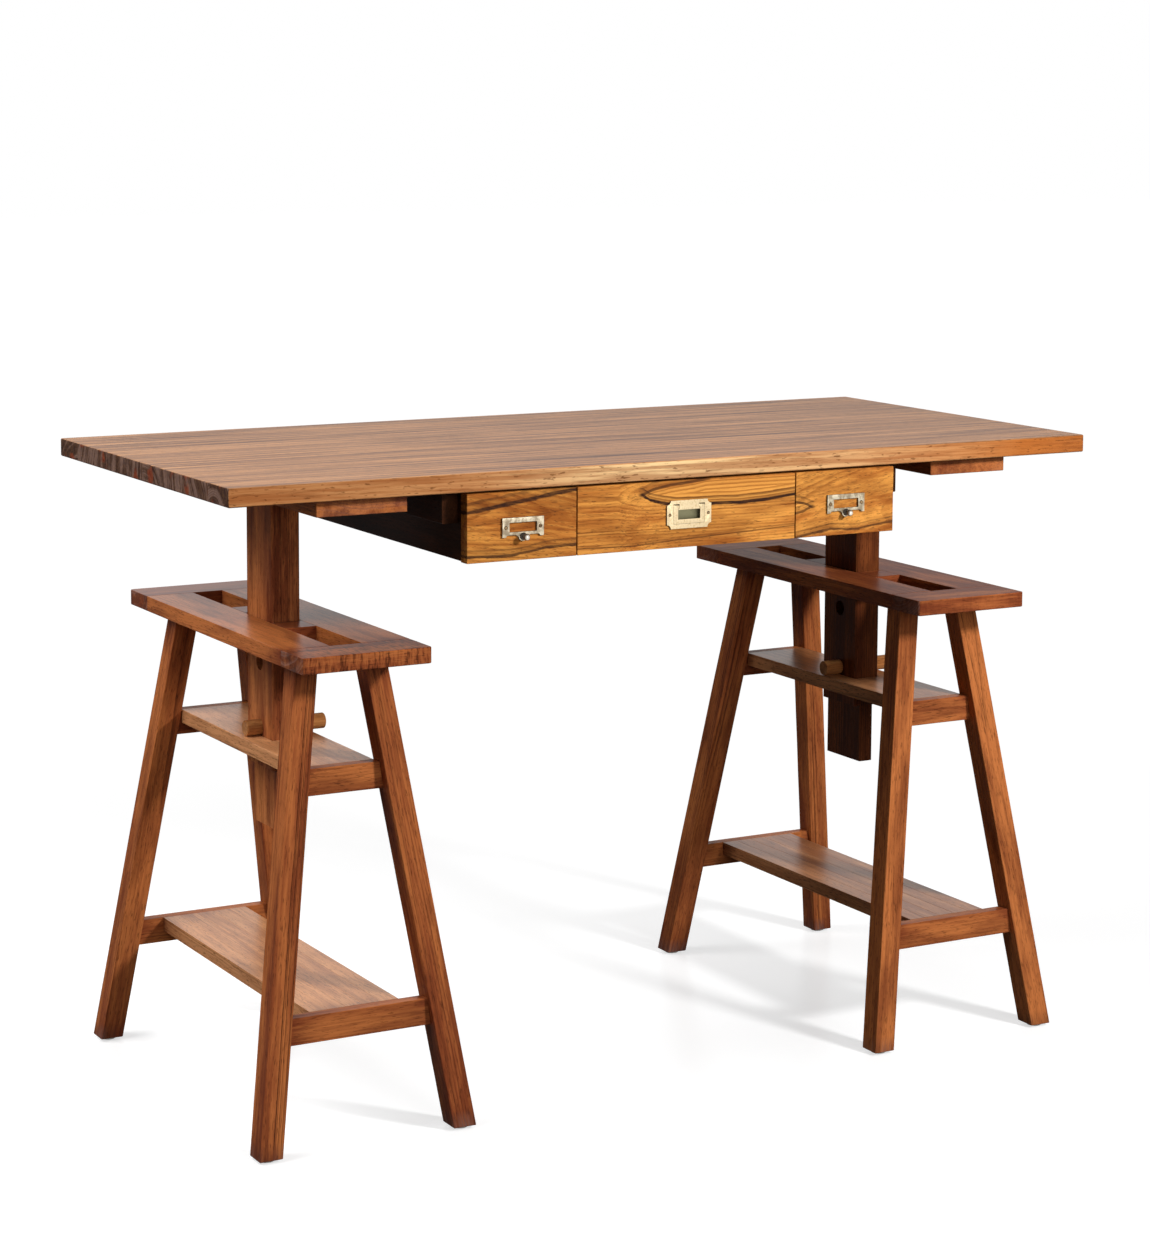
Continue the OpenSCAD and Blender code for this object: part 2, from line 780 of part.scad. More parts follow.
// The round head of a leg of the bail. Its hook is cut away under the pin, to clear the plate as it turns
module bail_lug() {
    a = bail_w / 2;
    w = bail_leg + bail_hook;
    difference() {
        translate([a - w, pin_up, pin_depth]) rotate([0, 90, 0]) cylinder(r = lug_r, h = w);
        box([a - w - 1, pin_up - 2 * lug_r, -cup_d], [a - bail_leg, pin_up, pull_t + 1]);
    }
}

module pull_bail() {
    a = bail_w / 2;
    w = bail_leg + bail_hook;
    color("#dccb98") on_front(0, pull_z) difference() {
        union() {
            for (sx = [-1, 1]) corner(sx, 1) {
                bail_lug();
                box([a - w, bail_top - hook_h, pull_t - bail_t], [a, pin_up, pull_t]);
                box([a - bail_leg, bail_foot, pull_t - bail_t], [a, pin_up, pull_t]);
            }
            box([-a, bail_foot, pull_t - bail_t], [a, bail_foot + bail_bar, pull_t]);
        }
        translate([-a - 1, pin_up, pin_depth]) rotate([0, 90, 0]) cylinder(r = pin_hole_r, h = bail_w + 2);
    }
}

module pull_pins() {
    a = bail_w / 2 + bail_gap + cup_t;
    color("#a59468") on_front(0, pull_z) for (sx = [-1, 1])
        translate([sx * (a - (bail_leg + cup_t + bail_gap) / 2), pin_up, pin_depth]) rotate([0, 90, 0])
            cylinder(r = pin_r, h = bail_leg + cup_t + bail_gap, center = true);
}

module pull_screws() {
    color("#8d7f63") on_front(0, pull_z) for (sx = [-1, 1]) translate([sx * pull_screw_x, 0, 0])
        small_screw(pull_t);
}

desktop();
bearer(-trestle_x);  // left_bearer
bearer(trestle_x);  // right_bearer
post(-trestle_x);  // left_post
post(trestle_x);  // right_post
underside_screws();
unit_side(-1);  // unit_left_side
unit_side(1);  // unit_right_side
unit_dividers();
unit_back();
unit_bottom();
unit_cleats();
drawer_front(-1);  // left_drawer_front
drawer_box(-1);  // left_drawer_box
drawer_bottom(-1);  // left_drawer_bottom
drawer_front(0);  // middle_drawer_front
drawer_box(0);  // middle_drawer_box
drawer_bottom(0);  // middle_drawer_bottom
drawer_front(1);  // right_drawer_front
drawer_box(1);  // right_drawer_box
drawer_bottom(1);  // right_drawer_bottom
card_holder(-1);  // left_card_holder
holder_screws(-1);  // left_holder_screws
knob(-1);  // left_knob
card_holder(1);  // right_card_holder
holder_screws(1);  // right_holder_screws
knob(1);  // right_knob
pull_plate();
pull_cup();
pull_bail();
pull_pins();
pull_screws();
peg(-trestle_x + left_peg_shift);  // left_peg
peg(trestle_x + right_peg_shift);  // right_peg
top_rails(-trestle_x);  // left_top_rails
top_crosspieces(-trestle_x);  // left_top_crosspieces
leg(-trestle_x, -1, -1);  // left_front_outer_leg
leg(-trestle_x, 1, -1);  // left_front_inner_leg
leg(-trestle_x, -1, 1);  // left_back_outer_leg
leg(-trestle_x, 1, 1);  // left_back_inner_leg
mid_stretchers(-trestle_x);  // left_mid_stretchers
low_stretchers(-trestle_x);  // left_low_stretchers
mid_shelf(-trestle_x);  // left_mid_shelf
low_shelf(-trestle_x);  // left_low_shelf
glides(-trestle_x);  // left_glides
top_rails(trestle_x);  // right_top_rails
top_crosspieces(trestle_x);  // right_top_crosspieces
leg(trestle_x, 1, -1);  // right_front_outer_leg
leg(trestle_x, -1, -1);  // right_front_inner_leg
leg(trestle_x, 1, 1);  // right_back_outer_leg
leg(trestle_x, -1, 1);  // right_back_inner_leg
mid_stretchers(trestle_x);  // right_mid_stretchers
low_stretchers(trestle_x);  // right_low_stretchers
mid_shelf(trestle_x);  // right_mid_shelf
low_shelf(trestle_x);  // right_low_shelf
glides(trestle_x);  // right_glides
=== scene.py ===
import bmesh
import bpy
import numpy as np
from mathutils import Matrix, Vector


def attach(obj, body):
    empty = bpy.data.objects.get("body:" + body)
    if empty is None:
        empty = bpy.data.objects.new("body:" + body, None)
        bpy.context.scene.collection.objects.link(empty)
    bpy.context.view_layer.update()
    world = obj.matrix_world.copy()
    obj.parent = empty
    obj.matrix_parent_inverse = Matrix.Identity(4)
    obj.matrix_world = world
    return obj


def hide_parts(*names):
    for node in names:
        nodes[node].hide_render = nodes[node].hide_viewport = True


# %% [markdown]
# # A desk on two trestles
#
# The desk is a solid wood top with three drawers under it. Two posts hang from the top, slide in
# the slots of two splayed trestles and stand on wooden pegs. The CAD frame already has every
# piece at its real size. This lesson gives each board its own grain, rounds its edges, and makes
# the metal fittings, the light and the floor. The frame comes first, because all else rides on it.

# %% The frame, and the box that it fills
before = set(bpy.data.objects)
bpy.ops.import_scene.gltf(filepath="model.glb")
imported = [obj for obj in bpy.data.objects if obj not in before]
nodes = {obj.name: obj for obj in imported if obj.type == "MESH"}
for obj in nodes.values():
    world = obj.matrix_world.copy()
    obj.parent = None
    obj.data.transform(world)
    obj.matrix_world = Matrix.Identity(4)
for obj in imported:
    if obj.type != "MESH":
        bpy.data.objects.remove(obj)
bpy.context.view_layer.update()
MM = 0.001

# %% [markdown]
# ## Camera
#
# The photograph was taken from a tripod in front and to the left of the desk, from far away with a
# long lens: upright edges stay upright, and far edges are hardly shorter than near ones. The
# place, the turn and the focal length below were found by matching the corners of the boards. The
# desk stands low in a tall picture, which a small shift of the lens gives without tilting it more.

# %% The camera, from its place and its three turns
PICTURE_H = 1255
FOCAL_PX = 3055.66
OPTICAL_ROW = 440
SENSOR = 36
EYE = Vector((-2.33909, -4.21861, 1.51923))
YAW, PITCH, ROLL = 0.50518, -0.1142, 0.00468

forward = Vector((np.sin(YAW) * np.cos(PITCH), np.cos(YAW) * np.cos(PITCH), np.sin(PITCH)))
level = Vector((np.cos(YAW), -np.sin(YAW), 0))
upright = level.cross(forward)
across = np.cos(ROLL) * level + np.sin(ROLL) * upright
upward = np.cos(ROLL) * upright - np.sin(ROLL) * level

camera = bpy.data.objects.new("camera", bpy.data.cameras.new("camera"))
bpy.context.scene.collection.objects.link(camera)
placed = Matrix((across, upward, -forward)).transposed().to_4x4()
placed.translation = EYE
camera.matrix_world = placed
camera.data.sensor_width = SENSOR
camera.data.lens = FOCAL_PX * SENSOR / PICTURE_H
camera.data.shift_y = (OPTICAL_ROW - PICTURE_H / 2) / PICTURE_H
bpy.context.scene.camera = camera
print("lens", round(camera.data.lens, 1), "mm, shift", round(camera.data.shift_y, 3))

# %% [markdown]
# ## Finishes as sums
#
# A finish is worked out with sums on sockets: a ring of the tree is a distance, a fraction and a
# smooth step. Wiring those by hand hides the sum, so a small class wraps a socket and gives it
# Python's operators. Each operator adds one Math node, or a Vector Math node where the socket
# carries a vector or a colour. Any other node comes from one method, which takes the node's type,
# its settings and the values or links of its sockets.

# %% Sockets that can be added, multiplied and compared
def colour(code):
    """A colour written as six hex digits, turned from its screen value to light by the sRGB curve."""
    screen = np.array([int(code[i:i + 2], 16) for i in (1, 3, 5)]) / 255
    light = np.where(screen <= 0.04045, screen / 12.92, ((screen + 0.055) / 1.055) ** 2.4)
    return (*light, 1.0)


class Value:
    """A socket that carries a number. An operator on it adds a Math node."""

    kind = "ShaderNodeMath"

    def __init__(self, finish, socket):
        self.finish, self.socket = finish, socket

    def sum(self, operation, *terms):
        return self.finish.node(self.kind, {"operation": operation}, dict(enumerate(terms)))

    def __add__(self, other): return self.sum("ADD", self, other)
    def __radd__(self, other): return self.sum("ADD", other, self)
    def __sub__(self, other): return self.sum("SUBTRACT", self, other)
    def __rsub__(self, other): return self.sum("SUBTRACT", other, self)
    def __mul__(self, other): return self.sum("MULTIPLY", self, other)
    def __rmul__(self, other): return self.sum("MULTIPLY", other, self)
    def __pow__(self, other): return self.sum("POWER", self, other)
    def fraction(self): return self.sum("FRACT", self)
    def size(self): return self.sum("ABSOLUTE", self)
    def most(self, other): return self.sum("MAXIMUM", self, other)
    def least(self, other): return self.sum("MINIMUM", self, other)

    def step(self, low, high):
        """0 below low, 1 above high, and a smooth rise between."""
        return self.finish.node("ShaderNodeMapRange", {"interpolation_type": "SMOOTHSTEP"},
                                {"Value": self, "From Min": low, "From Max": high})


class Arrow(Value):
    """A socket that carries a vector or a colour. An operator on it adds a Vector Math node."""

    kind = "ShaderNodeVectorMath"

    def __mul__(self, other):
        if isinstance(other, tuple):
            return self.sum("MULTIPLY", self, other)
        return self.finish.node(self.kind, {"operation": "SCALE"}, {0: self, "Scale": other})

    __rmul__ = __mul__


class Finish:
    """A material under construction, or the node tree that is given."""

    def __init__(self, name, tree=None):
        self.name = name
        if tree is None:
            self.material = bpy.data.materials.new(name)
            self.material.use_nodes = True
            tree = self.material.node_tree
        self.tree = tree
        tree.nodes.clear()

    def node(self, kind, settings=None, values=None, out=0):
        """Adds a node. Its sockets take numbers, vectors, colours as hex codes, or links."""
        made = self.tree.nodes.new(kind)
        for key, value in (settings or {}).items():
            setattr(made, key, value)
        for key, value in (values or {}).items():
            if isinstance(value, Value):
                self.tree.links.new(value.socket, made.inputs[key])
            else:
                made.inputs[key].default_value = colour(value) if isinstance(value, str) else value
        socket = made.outputs[out]
        return (Arrow if socket.type in ("VECTOR", "RGBA") else Value)(self, socket)

    def noise(self, place, detail=2.0, roughness=0.5):
        return self.node("ShaderNodeTexNoise", {}, {"Vector": place, "Scale": 1.0, "Detail": detail,
                                                    "Roughness": roughness})

    def parts(self, arrow):
        made = self.tree.nodes.new("ShaderNodeSeparateXYZ")
        self.tree.links.new(arrow.socket, made.inputs[0])
        return [Value(self, out) for out in made.outputs]

    def joined(self, x, y, z):
        return self.node("ShaderNodeCombineXYZ", {}, {0: x, 1: y, 2: z})

    def mix(self, first, second, share):
        """first where share is 0, second where it is 1."""
        return self.node("ShaderNodeMix", {"data_type": "RGBA"}, {0: share, 6: first, 7: second}, out=2)

    def attribute(self, name):
        return self.node("ShaderNodeAttribute", {"attribute_name": name}, out=1)

    def place(self, turn=(0, 0, 0), move=(0, 0, 0)):
        """Object coordinates, turned and moved by a Mapping node."""
        found = self.node("ShaderNodeTexCoord", out=3)
        return self.node("ShaderNodeMapping", {}, {"Vector": found, "Rotation": turn, "Location": move})

    def facing(self):
        """The way that the surface faces, as three numbers."""
        return self.parts(self.node("ShaderNodeNewGeometry", out=1))

    def bump(self, height, distance, strength):
        return self.node("ShaderNodeBump", {}, {"Height": height, "Distance": distance, "Strength": strength})

    def seen(self):
        """1 to the camera, in reflections and through glass, 0 to the light that bounces around."""
        rays = self.tree.nodes.new("ShaderNodeLightPath").outputs
        camera, mirrored, through = (Value(self, rays[f"Is {kind} Ray"])
                                     for kind in ("Camera", "Glossy", "Transmission"))
        return camera.most(mirrored).most(through)

    def end(self, shader, kind="ShaderNodeOutputMaterial"):
        self.tree.links.new(shader.socket, self.tree.nodes.new(kind).inputs["Surface"])

    def surface(self, **values):
        """Ends the finish with a Principled BSDF, and keeps the material under its name."""
        values = {key.replace("_", " "): value for key, value in values.items()}
        self.end(self.node("ShaderNodeBsdfPrincipled", {}, values))
        finish_of[self.name] = self.material


finish_of = {}
print("colour of a warm brown as light:", [round(float(c), 3) for c in colour("#8a5a30")])

# %% [markdown]
# ## Light and floor
#
# The shadows of the two knobs fall left and down on their drawers, and the left one is the longer,
# so the main lamp is near: in front of the right end of the desk, at twice its height. It is also
# why the right trestle is brighter. A wide high lamp on the left reaches the tops and the outer
# faces of the left trestle, and a low one its post. A far one in front fills the shade, and a far
# one behind lights only what the camera doesn't see. Little of it comes under the desktop, where
# the photograph is almost black. The level is set so that a colour renders about as it is written.
# All but the front lamp stay out of reflections, where the polished tops would show white patches.

# %% Three near lamps and two far ones
def lamp(name, kind, towards, energy):
    """A lamp that shines from the direction `towards`."""
    made = bpy.data.objects.new(name, bpy.data.lights.new(name, kind))
    bpy.context.scene.collection.objects.link(made)
    made.data.energy = energy
    made.rotation_euler = Vector(towards).to_track_quat("Z", "Y").to_euler()
    return made


def far_lamp(name, turn, rise, strength, size):
    """A sun, seen `size` degrees wide. Its direction turns from straight in front towards the right,
    then rises, in degrees: x = sin(turn) cos(rise), y = -cos(turn) cos(rise), z = sin(rise)."""
    turn, rise = np.radians([turn, rise])
    towards = np.sin(turn) * np.cos(rise), -np.cos(turn) * np.cos(rise), np.sin(rise)
    made = lamp(name, "SUN", towards, strength)
    made.data.angle = np.radians(size)
    return made


def near_lamp(name, place, aim, strength, width):
    """A disk at a place, not seen in reflections. Its power, strength * pi * distance^2, makes it as
    strong at its aim as a far lamp."""
    towards = Vector(place) - Vector(aim)
    made = lamp(name, "AREA", towards, strength * np.pi * towards.length_squared)
    made.data.shape, made.data.size = "DISK", width
    made.location = place
    made.visible_glossy = False


near_lamp("main_lamp", (1.3, -2.7, 2.1), (0, -0.34, 0.88), 3.5, 0.45)
far_lamp("front_lamp", -3, 10, 1.0, 30)
near_lamp("low_left_lamp", (-3.1, -0.2, 1.5), (-0.6, 0, 0.6), 0.55, 1.4)
near_lamp("high_left_lamp", (-2.3, 0.4, 3.0), (0, 0, 0.95), 3.2, 2.6)
far_lamp("back_lamp", 168, 14, 0.55, 40).visible_glossy = False

# %% A dim world behind a white backdrop
WHITE = "#ffffff"
WORLD_FILL = 0.026
world = bpy.data.worlds.new("world")
bpy.context.scene.world = world
world.use_nodes = True
sky = Finish("world", world.node_tree)
dim = sky.node("ShaderNodeBackground", {}, {"Color": WHITE, "Strength": WORLD_FILL})
backdrop = sky.node("ShaderNodeBackground", {}, {"Color": WHITE, "Strength": 1.0})
sky.end(sky.node("ShaderNodeMixShader", {}, {0: sky.seen(), 1: dim, 2: backdrop}), "ShaderNodeOutputWorld")
bpy.context.scene.view_settings.view_transform = "Standard"
print("the world lights with a strength of", WORLD_FILL)

# %% [markdown]
# The floor is white to the camera, and so are its reflections in the brass. It glows a little by
# itself and takes the rest from the lamps, so it is just white in the light and grey in the
# desk's shadow. The part that the lamps give fades with distance, so that the floor joins the
# white backdrop without a line. To the light that bounces around it is a duller grey.

# %% A white floor that keeps the shadow
FLOOR_REACH, FLOOR_DROP = 30.0, 0.0002
FADE = (0.9, 2.4)
LIT, DULL = (0.55, 0.55, 0.55, 1), (0.05, 0.05, 0.05, 1)
GLOW, BLANK = 0.66, 1.02
SHEEN, SHEEN_ROUGH = 0.08, 0.25
floor_mesh = bpy.data.meshes.new("floor")
corner = np.array([(-1, -1, 0), (1, -1, 0), (1, 1, 0), (-1, 1, 0)]) * FLOOR_REACH - (0, 0, FLOOR_DROP)
floor_mesh.from_pydata(corner.tolist(), [], [(0, 1, 2, 3)])
floor = bpy.data.objects.new("floor", floor_mesh)
bpy.context.scene.collection.objects.link(floor)

f = Finish("floor")
x, y = f.parts(f.place())[:2]
near = 1 - ((x * x + y * y) ** 0.5).step(*FADE)
lit = f.node("ShaderNodeBsdfDiffuse", {}, {"Color": LIT})
glow = f.node("ShaderNodeEmission", {}, {"Color": WHITE, "Strength": GLOW})
both = f.node("ShaderNodeAddShader", {}, {0: lit, 1: glow})
mirror = f.node("ShaderNodeBsdfAnisotropic", {}, {"Roughness": SHEEN_ROUGH, "Color": WHITE})
both = f.node("ShaderNodeMixShader", {}, {0: SHEEN, 1: both, 2: mirror})
blank = f.node("ShaderNodeEmission", {}, {"Color": WHITE, "Strength": BLANK})
white_floor = f.node("ShaderNodeMixShader", {}, {0: near, 1: blank, 2: both})
dull_floor = f.node("ShaderNodeBsdfDiffuse", {}, {"Color": DULL})
f.end(f.node("ShaderNodeMixShader", {}, {0: f.seen(), 1: dull_floor, 2: white_floor}))
floor_mesh.materials.append(f.material)
print("floor", 2 * FLOOR_REACH, "m across")

# %% [markdown]
# ## Wood
#
# A board is sawn from a log, so its pattern is one solid pattern cut by six faces. The finish
# therefore reads a place in the log: x along the trunk, y and z from the heart. The distance from
# the heart, pushed about by slow noise, counts the years. Each year goes from pale early wood to a
# dark line, some years are much darker than others, and long thin noise gives fibres and pores.
# The ends show the same rings as arcs, because it is the same sum.

# %% What every wood is mixed from
def grain_of(f, log, ring, along, across):
    """late: 0 where a year starts and 1 near its end. bold: which years are the dark ones. The rest
    is noise drawn out along the trunk. streak, fibre and pore are fine; patch, stain and sway broad."""
    x, y, z = f.parts(log)
    drift = f.noise(log * (1.2, 8.0, 8.0), 3.0) - 0.5
    sway = f.noise(log * (7.0, 60.0, 60.0)) - 0.5
    years = ((y * y + z * z) ** 0.5 + drift * 0.026 + sway * 0.0035) * (1000 / ring)
    year = years.fraction()
    late = year.step(0.30, 0.93) * (1 - year.step(0.93, 1.0))
    bold = f.noise(f.joined(x * 0.9, years * 0.37, 7.3), 2.0, 0.6)
    streak = f.noise(log * (along, across, across), 4.0, 0.65)
    fibre = f.noise(log * (24.0, 360.0, 360.0), 3.0, 0.7)
    pore = f.noise(log * (75.0, 700.0, 700.0), 1.0).step(0.61, 0.68)
    patch = f.noise(log * (3.0, 30.0, 30.0), 3.0)
    stain = f.noise(log * (5.0, 22.0, 22.0) + (3.0, 5.0, 7.0))
    return late, bold, streak, fibre, pore, patch, stain, sway


# %% [markdown]
# Three more attributes carry what each board has of its own. "look" holds its tone, where its ends
# and scuffed edges are, and how rippled it is. Its tone is darker near each end of a board, partly
# dirt and partly painted shade. "vein" holds the distance to each of three dark lines, in half
# widths, and "share" how dark each is. A tone above 1.5 is the front edge of the top, which the sun
# has turned to gold; its paler gold is partly a painted highlight.

# %% What a board adds: veins, ripples, a golden edge and cut ends
# the second, paler gold is partly a painted highlight on the front edge of the top
GOLD = ("#b0662e", "#ffdca2")


def with_veins(f, shade, pale, dark, line, streak, fibre, sway):
    """A dark line where the distance is near 0, with a soft veil and a few thin lines above it. A
    first share over 1 makes the first two veins a tongue: the lesser of the distances into it,
    repeated, gives the lines nested inside."""
    wander = sway * 1.6 + (streak - 0.5) * 1.2 + (fibre - 0.5) * 0.8
    shares, aways = f.parts(f.attribute("share")), f.parts(f.attribute("vein"))
    inside = aways[0].least(0 - aways[1]) + wander * 0.6
    tongue = shares[0].step(1.0, 1.05)
    shade = f.mix(shade, pale, inside.step(0.5, 2.5) * tongue * 0.65)
    nested = (inside * 0.45).fraction().step(0.35, 0.85) * inside.step(1.0, 1.8)
    shade = f.mix(shade, dark, nested * tongue * 0.55)
    for away, share in zip(aways, shares):
        away = away + wander
        mark = 1 - away.size().step(0.55, 1.25)
        veil = away.step(-1.0, 0.5) * (1 - away.step(0.5, 4.5)) * 0.35
        beside = (away * 0.24).fraction().step(0.45, 0.9)
        beside = beside * away.step(1.0, 3.0) * (1 - away.step(3.5, 6.5)) * 0.6
        shade = f.mix(shade, line, mark.most(veil).most(beside) * (0.55 + fibre * 0.7) * share)
    return shade


def with_ripples(f, shade, log, pale, line, figure):
    """Short pale and dark ripples across the grain, as strong as the board's figure."""
    ripple = f.noise(log * (210.0, 40.0, 40.0), 3.0, 0.6)
    shade = f.mix(shade, pale, (1 - ripple.step(0.36, 0.5)) * figure * 0.6)
    return f.mix(shade, line, ripple.step(0.50, 0.62) * figure)


def golden_edge(f, log, fibre, tone):
    """From one gold at tone 2 to the other at tone 3, with red-brown streaks, nicks and fibres. The
    paler gold is partly a painted highlight.
    """
    nick = f.noise(log * (70.0, 300.0, 300.0)).step(0.62, 0.68)
    sun = f.noise(log * (4.0, 120.0, 120.0) + (9.0, 9.0, 9.0), 3.0, 0.6)
    edge = f.mix(f.mix(*GOLD, tone - 2), "#8c4519", sun.step(0.40, 0.64) * 0.62)
    return f.mix(edge, "#55290f", nick * 0.6 + fibre.step(0.50, 0.70) * 0.4)


def cut_end(f, log, late, bold, raw):
    """The same rings between the two raw colours, with dark lines and a few red patches."""
    blot = f.noise(log * (2.0, 24.0, 24.0))
    shorn = f.mix(*raw, (bold * 0.65 + blot * 0.35).step(0.44, 0.57))
    shorn = f.mix(shorn, "#1a0e0b", (1 - late.step(0.0, 0.6)) * 0.4)
    return f.mix(shorn, "#7a2c14", (1 - blot.step(0.34, 0.42)) * 0.6)


# %% One solid wood, for every board
def timber(name, pale, body, dark, line, ring=4.2, rings=0.5, streaks=(12.0, 150.0, 0.35), cloud=1.0,
           rough=0.5, wax=0.0, raw=("#3a2823", "#85716a"), coords=None):
    """pale to line: four colours. ring: a year's growth in mm. rings, cloud: how strong the rings and
    the broad clouds are. streaks: how often they come along and across a metre, and how strong. wax:
    how polished a face is that looks up. raw: an end's two colours. coords: Mapping values, for a
    CAD node."""
    f = Finish(name)
    along, across, fleck = streaks
    own = coords is None
    log = f.attribute("log") if own else f.place(*coords)
    late, bold, streak, fibre, pore, patch, stain, sway = grain_of(f, log, ring, along, across)
    if own:
        tone, ends, figure = f.parts(f.attribute("look"))
        gold = tone.step(1.5, 2.0)
        patch = patch + (tone - gold * 3.0) * 0.16

    shade = f.mix(body, pale, patch.step(0.36, 0.66) * cloud + 0.45 * (1 - cloud))
    shade = f.mix(shade, dark, (1 - patch.step(0.30, 0.52)) * 0.45 * cloud)
    shade = f.mix(shade, dark, stain.step(0.46, 0.62) * 0.55 * cloud)
    shade = f.mix(shade, dark, late * (bold.step(0.40, 0.66) * 0.8 + 0.2) * rings)
    shade = f.mix(shade, dark, streak.step(0.46, 0.66) * fleck)
    shade = f.mix(shade, pale, (1 - streak.step(0.34, 0.50)) * fleck)
    shade = f.mix(shade, line, bold.step(0.61, 0.70) * late * rings)
    shade = f.mix(shade, line, fibre.step(0.50, 0.74) * 0.32)
    shade = f.mix(shade, line, pore * 0.5)
    if own:
        shade = with_veins(f, shade, pale, dark, line, streak, fibre, sway)
        shade = with_ripples(f, shade, log, pale, line, figure)
        shade = f.mix(shade, golden_edge(f, log, fibre, tone), gold * 0.94)
        shade = f.mix(shade, cut_end(f, log, late, bold, raw), ends * 0.9)
    gloss = rough + (streak - 0.5) * 0.22 + late * 0.08 + pore * 0.15
    relief = late * -0.5 + fibre * 0.5 - pore * 1.0 + streak * 0.4
    f.surface(Base_Color=shade, Roughness=gloss, Specular_IOR_Level=0.0,
              Coat_Weight=f.facing()[2].step(0.5, 0.95) * wax + 0.06, Coat_Roughness=0.32,
              Normal=f.bump(relief, 0.0002, 0.5))


TRESTLE = ("#ba6e3c", "#954f2c", "#602a19", "#1e0b08")
timber("top_wood", "#c48c5c", "#966540", "#48291a", "#200f08", ring=3.6, rings=0.45, cloud=0.3,
       streaks=(1.6, 165.0, 1.0), rough=0.42, wax=0.44, raw=("#2f1d19", "#70584f"))
timber("front_wood", "#e49e4b", "#b96e30", "#80431b", "#33201a", ring=5.0, rings=0.75, cloud=0.8,
       streaks=(9.0, 150.0, 0.35), rough=0.42, wax=0.2, raw=("#1c0f0a", "#2c1a12"))
timber("trestle_wood", *TRESTLE, wax=0.3)
timber("polished_wood", *TRESTLE, streaks=(9.0, 120.0, 0.3), wax=0.7)
timber("shelf_wood", "#cd9162", "#b0744a", "#7b472c", "#2c150d", rings=0.3, cloud=0.7,
       streaks=(6.0, 110.0, 0.3), wax=0.75)
timber("peg_wood", "#c98f58", "#b0723f", "#7c4a28", "#4a2a18", ring=3.0, wax=0.2,
       raw=("#a87a55", "#c49a74"))
print("woods:", sorted(finish_of))

# %% [markdown]
# The posts, the drawer unit and the drawer boxes keep their CAD shape, with its bores and grooves.
# Their finish is the same wood, read from the object's own coordinates. A Mapping node turns the
# pattern so that its x runs along the grain of that piece: up the posts, front to back in the unit.
# The much darker colours of the right post and of the unit's case are painted shade, for the shade
# under the desktop.

# %% The same wood for the pieces that keep their CAD shape
UP_THE_POST, ALONG_X, ALONG_Y = (0, np.radians(90), 0), (0, 0, 0), (0, 0, np.radians(-90))
for name, colours, rough, turn, move in (
        ("left_post_wood", "#c07644 #945230 #5c2b19 #1a0a06", 0.5, UP_THE_POST, (0, 0.03, 0.45)),
        # painted shade: the right post gets a much darker copy of the post's wood
        ("right_post_shaded_wood", "#7c4422 #5c2e18 #3a190d #150805", 0.5, UP_THE_POST, (0, 0.03, 0.45)),
        ("back_wood", "#7a4a2a #5f361d #412211 #1a0c06", 0.6, ALONG_X, (0, 0.02, -0.83)),
        # painted shade: the unit's case is near black, for the shade under the desktop
        ("case_wood", "#3e2213 #2e180e #1e0e07 #0d0603", 0.6, ALONG_Y, (0, 0.09, -0.8)),
        ("box_wood", "#cda473 #b98c5b #96693e #6a4526", 0.6, ALONG_Y, (0, 0.3, -0.75))):
    timber(name, *colours.split(), rough=rough, coords=(turn, move))
print("woods:", sorted(finish_of))

# %% [markdown]
# ## Metal, and the plastic glides
#
# The pull is cast brass that was brushed and has yellowed, and the card holders are a thinner,
# greyer stamping. The knobs are dark with painted shade on the stem and the sides of the ball, and
# the bright front of the ball is a painted highlight. The sides of the plates are painted near
# black, as painted shade. Soft noise mixes a clean and a tarnished colour and roughens the tarnished
# part, and fine scratches run across.

# %% Aged metals and the glides' plastic
def metal(name, clean, tarnish, share, rough, scale, paints_shade=False, plate=False):
    """share: how much is tarnished. The flag before plate lays an attribute of painted shade into the
    tarnish, which adds the tarnish colour where it is 1. plate: faces that look neither to the front
    nor the back are painted near black, as painted shade, by the way that they face in the room."""
    f = Finish(name)
    place = f.place()
    cloud = f.noise(place * scale, 4.0, 0.6)
    stain = 1 - (cloud + (0.5 - share)).step(0.40, 0.62)
    if paints_shade:
        # painted shade from the attribute is laid into the tarnish
        stain = stain.most(f.parts(f.attribute("painted_shade"))[0])
    scratch = f.noise(place * (300.0, 300.0, 5200.0), 2.0, 0.6)
    shade = f.mix(clean, tarnish, stain * (0.95 if paints_shade else 0.75))
    shade = f.mix(shade, tarnish, scratch.step(0.52, 0.75) * 0.25)
    if plate:
        # painted shade: faces turned away from the front and the back get a near-black colour
        shade = f.mix("#140e0a", shade, f.facing()[1].size().step(0.2, 0.65) * 0.9 + 0.1)
    f.surface(Base_Color=shade, Metallic=1.0, Roughness=rough + stain * 0.18 + scratch * 0.08,
              Normal=f.bump(scratch * 0.6 + cloud * 0.4, 0.00003, 0.4))


metal("pull_metal", "#ead4ac", "#d2b98c", 0.42, 0.42, 300.0, plate=True)
metal("holder_metal", "#dccfb4", "#85725a", 0.5, 0.34, 90.0, plate=True)
metal("knob_metal", "#e2d6c4", "#1d140e", 0.2, 0.13, 200.0, paints_shade=True)
metal("cup_metal", "#8f8a6b", "#6d684e", 0.3, 0.5, 60.0)
metal("screw_brass", "#a58a66", "#33201a", 0.4, 0.3, 260.0, paints_shade=True)
metal("screw_steel", "#c8c6c0", "#8e8b84", 0.4, 0.35, 260.0)

f = Finish("glide_plastic")
mottle = f.noise(f.place() * 700.0, 3.0)
f.surface(Base_Color=f.mix("#d6d3cc", "#aaa59b", mottle.step(0.4, 0.7)),
          Roughness=0.45 + mottle * 0.2, Normal=f.bump(mottle, 0.0001, 0.4))
print("finishes:", len(finish_of))

